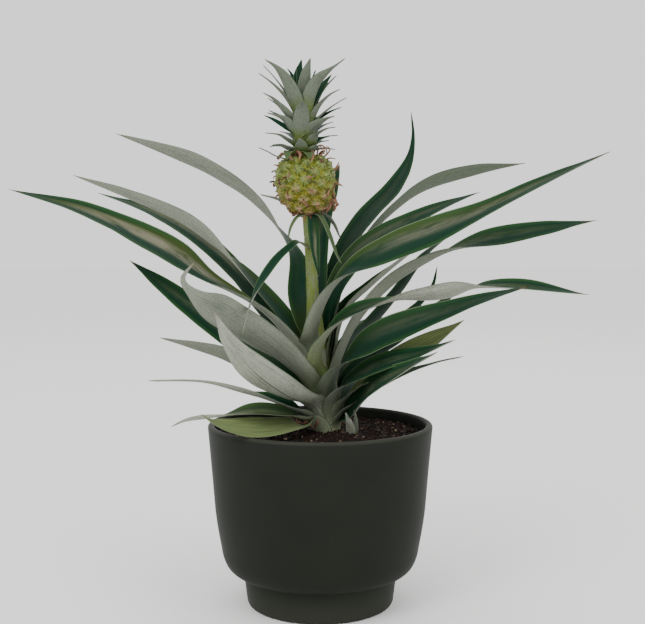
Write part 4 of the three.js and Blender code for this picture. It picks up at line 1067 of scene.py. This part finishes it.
# crown: the leaves seen from the front are set one by one, and a spiral fills the back
crown = {
    "base": (-10.9, 0, 279.6), "top": (-10.6, 0, 312), "coreRadii": [6.4, 5.6, 4.6, 3, 1.4],
    "coreRows": 20, "coreSides": 24,
    "count": 30, "phase": 1.9, "backFrom": 0.14,  # how far back a spiral leaf points to be kept
    "lengths": [19, 23, 28, 33, 39, 42, 33], "widths": [10, 11, 12, 12.5, 12, 10, 7],
    "leans": [84, 72, 58, 46, 37, 30, 5], "seed": 5, "leafSeed": 70, "grid": (30, 7),
    "lengthFrom": 0.92, "lengthSpread": 0.16, "climb": 0.72, "footOut": 2.5, "footDrop": 1.6,
    "bend": (0.75, 0.1, 0.15),  # a leaf's first share of its lean, what each step adds, and high leaves' more
    "widthShare": 0.85, "outline": (0.8, 1, 0.74, 0.36), "point": 0.8,
    # every crown leaf takes a little painted shade, and some front leaves under the crown take more
    "usual": {"cup": [50, 36, 28, 20], "thickness": 0.6, "ripple": 0.25, "foot": 1.2, "dry": 0.35,
              "pale": 0.0, "streak": 0.0, "deep": 0.15},
}
crownLeaves = [  # azimuth, width, rib and what else a leaf sets for itself
    (-100, [9, 9.8, 9.6, 8.4, 6, 2.6, 0.8], [[-11.5, -5, 300], [-14, -7, 308], [-16.5, -9, 315],
     [-20, -11, 322], [-24, -13, 327.5], [-27.5, -14, 330.7], [-33.1, -16, 334.1]]),
    (-140, [7, 5, 3.4, 1.8, 0.7], [[-14.3, -1, 302], [-20.5, -2, 312.5], [-25.9, -2, 318.8],
     [-31.7, -2, 324.1], [-37.9, -2, 328.5]]),
    (-120, [8, 7, 5.5, 2.8, 0.7], [[-13, -4, 293], [-18, -7, 300.5], [-24.7, -10, 307.9],
     [-29, -12, 311.9], [-34.6, -14, 314.7]]),
    (125, [7, 5.4, 4, 2.4, 0.7], [[-13, -4, 291], [-19, -6, 293.6], [-24.8, -8, 297.1],
     [-29.1, -10, 299.5], [-33.9, -12, 301.5]]),
    (-115, [10, 9.5, 6, 2.6, 0.7], [[-12, -7, 288], [-17, -8.5, 294.5], [-21.7, -9, 299.4],
     [-27.1, -9, 301.9], [-32.5, -9, 303.5]]),
    (-140, [8, 6.4, 4.4, 2.6, 0.7], [[-14, -3, 283], [-21.3, -7, 288], [-24.8, -8, 290.1],
     [-29.2, -9, 290.9], [-33.8, -10, 291.2]]),
    (-125, [9, 7.4, 5.4, 4, 1.2], [[-13, -4, 278.5], [-20.4, -8, 282.1], [-23.9, -10, 283.7],
     [-27.3, -12, 283.9], [-29.9, -13, 282.5]]),
    (-140, [2.6, 2, 1.3, 0.7], [[-20, -9, 275], [-27.3, -12, 277.3], [-32.1, -13, 279.9],
     [-37.2, -14, 282]], dict(dry=1.0)),
    (-90, [8.5, 10.6, 11, 8, 1.5], [[-11.9, -6, 286], [-11.6, -10, 294], [-11.2, -13.5, 301],
     [-10.8, -17, 306.5], [-10.4, -21, 309]]),
    (-90, [8, 9, 7, 1.5], [[-11.5, -7, 277.5], [-11.4, -12, 282], [-11.8, -15, 285], [-12.4, -17, 287.4]],
     dict(deep=0.35, foot=3)),
    (-110, [8, 8.4, 6, 1.2], [[-15, -7, 276.5], [-17, -11, 279.5], [-19, -15, 279], [-20, -19, 274.5]],
     dict(deep=0.0, fresh=0.35, foot=3, dry=0.8)),
    (90, [6, 7.4, 6.6, 1], [[-11.7, 4, 306], [-13.3, 5, 318], [-13.4, 6.5, 329], [-11.6, 8, 338.4]],
     dict(ripple=0)),
    (-90, [8, 8.4, 6.8, 1], [[-10.9, -2, 306], [-10.4, -3, 318], [-8.6, -5, 328], [-5.9, -8, 336.3]]),
    (-80, [9, 9.2, 8.6, 6.4, 2, 0.7], [[-8.4, -4, 300], [-6.8, -7, 313], [-2.4, -9, 322],
     [4.5, -11, 327.8], [9.8, -12, 331.5], [15.1, -13, 335.3]]),
    (65, [8, 7.6, 6.6, 4.6, 0.9], [[-7.1, 2, 302], [-3.5, 5, 311.8], [-0.3, 7, 318.4], [3.3, 9, 324.5],
     [7.2, 11, 329.8]]),
    (-60, [7, 5.4, 3.4, 1.7, 0.6], [[-7.1, -2, 295], [-3, -4, 304.7], [1, -5, 310.3], [6.3, -6, 315],
     [12.3, -7, 318]]),
    (55, [7, 5.6, 4, 2.4, 0.7], [[-8, 1, 292], [-3.5, 2, 299.3], [1.9, 2, 302.9], [7.3, 2, 306],
     [13.4, 2, 308.4]]),
    (-75, [10, 9, 6.8, 3.2, 0.8], [[-9.7, -6, 287], [-5.2, -9, 293.9], [-0.3, -11, 297.2],
     [4.5, -13, 299.6], [9.1, -15, 300.8]]),
    (-50, [6, 4.4, 3, 1.6, 0.6], [[-7.6, 0, 285], [-3.5, 0, 290.5], [-0.8, 0, 292.3], [4.2, 0, 295],
     [9.6, 0, 295.9]]),
    (45, [8, 6, 4, 2.4, 0.7], [[-7.1, -4, 282], [-2.6, -6, 286.3], [1, -8, 287.9], [6.3, -9, 289.5],
     [11.2, -10, 289.6]]),
    (-50, [4, 3, 1.8, 0.6], [[-7.1, 2, 281], [-3.5, 4, 285.6], [0.1, 6, 287.6], [5.8, 8, 288.5]],
     dict(dry=1.0)),
    (105, [5, 4.4, 2.8, 0.7], [[-14.3, 3, 310], [-15.7, 5, 322], [-18.1, 7, 329.6], [-20.6, 9, 333.1]]),
    (90, [2.4, 1.6, 1, 0.6], [[-8, 2, 312], [-6.7, 3, 322.7], [-4.9, 4, 326.4], [-2.8, 5, 331.3]]),
    (-65, [9, 7.4, 5, 1.2], [[-8.5, -5, 277], [-4.8, -10, 281], [-1.2, -12, 283], [1, -13, 282.6]],
     dict(deep=0.4, foot=3)),
    (-75, [9, 8.4, 6, 1.2], [[-7.5, -6, 281], [-5, -11, 286], [-3, -14, 289], [-0.5, -17, 290]],
     dict(deep=0.3, foot=3)),
    (-80, [8, 8, 6, 1.2], [[-10, -7, 275.5], [-8.4, -11, 278.6], [-7, -15, 278.6], [-6, -19, 275]],
     dict(deep=0.0, fresh=0.35, foot=3, dry=0.8)),
    (130, [7, 5.6, 3.2, 0.7], [[-13.5, 1, 290], [-20, 2, 299], [-26, 2, 303.5], [-32, 2, 306.5]]),
]
driedCurls = [  # the withered hairs at the crown's right foot
    [[-4.3, -6, 278], [-2.5, -8, 282.8], [0.6, -9, 283.9], [3.3, -8, 282.2], [3.8, -7, 279],
     [2.2, -7, 277.6]],
    [[-1.9, -6, 277], [-1.4, -8, 281], [1, -10, 282], [2, -10, 279.8], [0.2, -9, 278]],
    [[0, -4, 276], [4.3, -6, 279], [5.8, -7, 281.6], [4.4, -8, 283.2], [2.6, -8, 282]],
    [[2, -3, 275], [6, -4, 276.6], [9.5, -5, 276]],
]


def spiralLeaf(i, draw):
    # low leaves are short and spreading, high ones long, the last few short and upright
    share = i / (crown["count"] - 1)
    angle = crown["phase"] + i * goldenAngle
    out = np.array([math.cos(angle), math.sin(angle), 0])
    longer = crown["lengthFrom"] + crown["lengthSpread"] * draw.random()
    step = float(eased(crown["lengths"], share)) * longer / 4
    lean = math.radians(float(eased(crown["leans"], share)))
    base, top, climb = np.array(crown["base"]), np.array(crown["top"]), crown["climb"]
    foot = base * (1 - climb * share) + top * climb * share
    rib = [foot + out * crown["footOut"] - np.array([0, 0, crown["footDrop"] * (1 - share)])]
    first, each, high = crown["bend"]
    for n in range(1, 5):
        tilt = lean * (first + each * n + high * share * (n - 2))
        rib.append(rib[-1] + step * (out * math.sin(tilt) + np.array([0, 0, math.cos(tilt)])))
    wide = crown["widthShare"] * float(eased(crown["widths"], share))
    width = [wide * part for part in crown["outline"]] + [crown["point"]]
    return out[1], {"rib": [list(p) for p in rib], "width": width}


def makeCrown():
    middle = np.add(crown["base"], crown["top"]) / 2
    core = tube("crownLeaves", [crown["base"], middle, crown["top"]], crown["coreRadii"], crown["coreRows"],
                crown["coreSides"])
    core.materials.append(stalkSkin)
    parts = [newObject("crownLeaves", core)]
    draw = np.random.default_rng(crown["seed"])
    spiral = [spiralLeaf(i, draw) for i in range(crown["count"])]
    drawn = [{"azimuth": azimuth, "width": width, "rib": rib, **dict(*more)}
             for azimuth, width, rib, *more in crownLeaves]
    drawn += [leaf for back, leaf in spiral if back > crown["backFrom"]]
    for seed, leaf in enumerate(drawn, crown["leafSeed"]):
        parts.append(makeBlade("crownLeaf", {**crown["usual"], **leaf}, seed, crown["grid"]))
    parts += [driedShred(path, dry["curlRadii"]) for path in driedCurls]
    finishPiece(joined("crownLeaves", parts), "crown")
    print("crown made:", len(drawn), "leaves")


makeCrown()

bpy.context.view_layer.update()
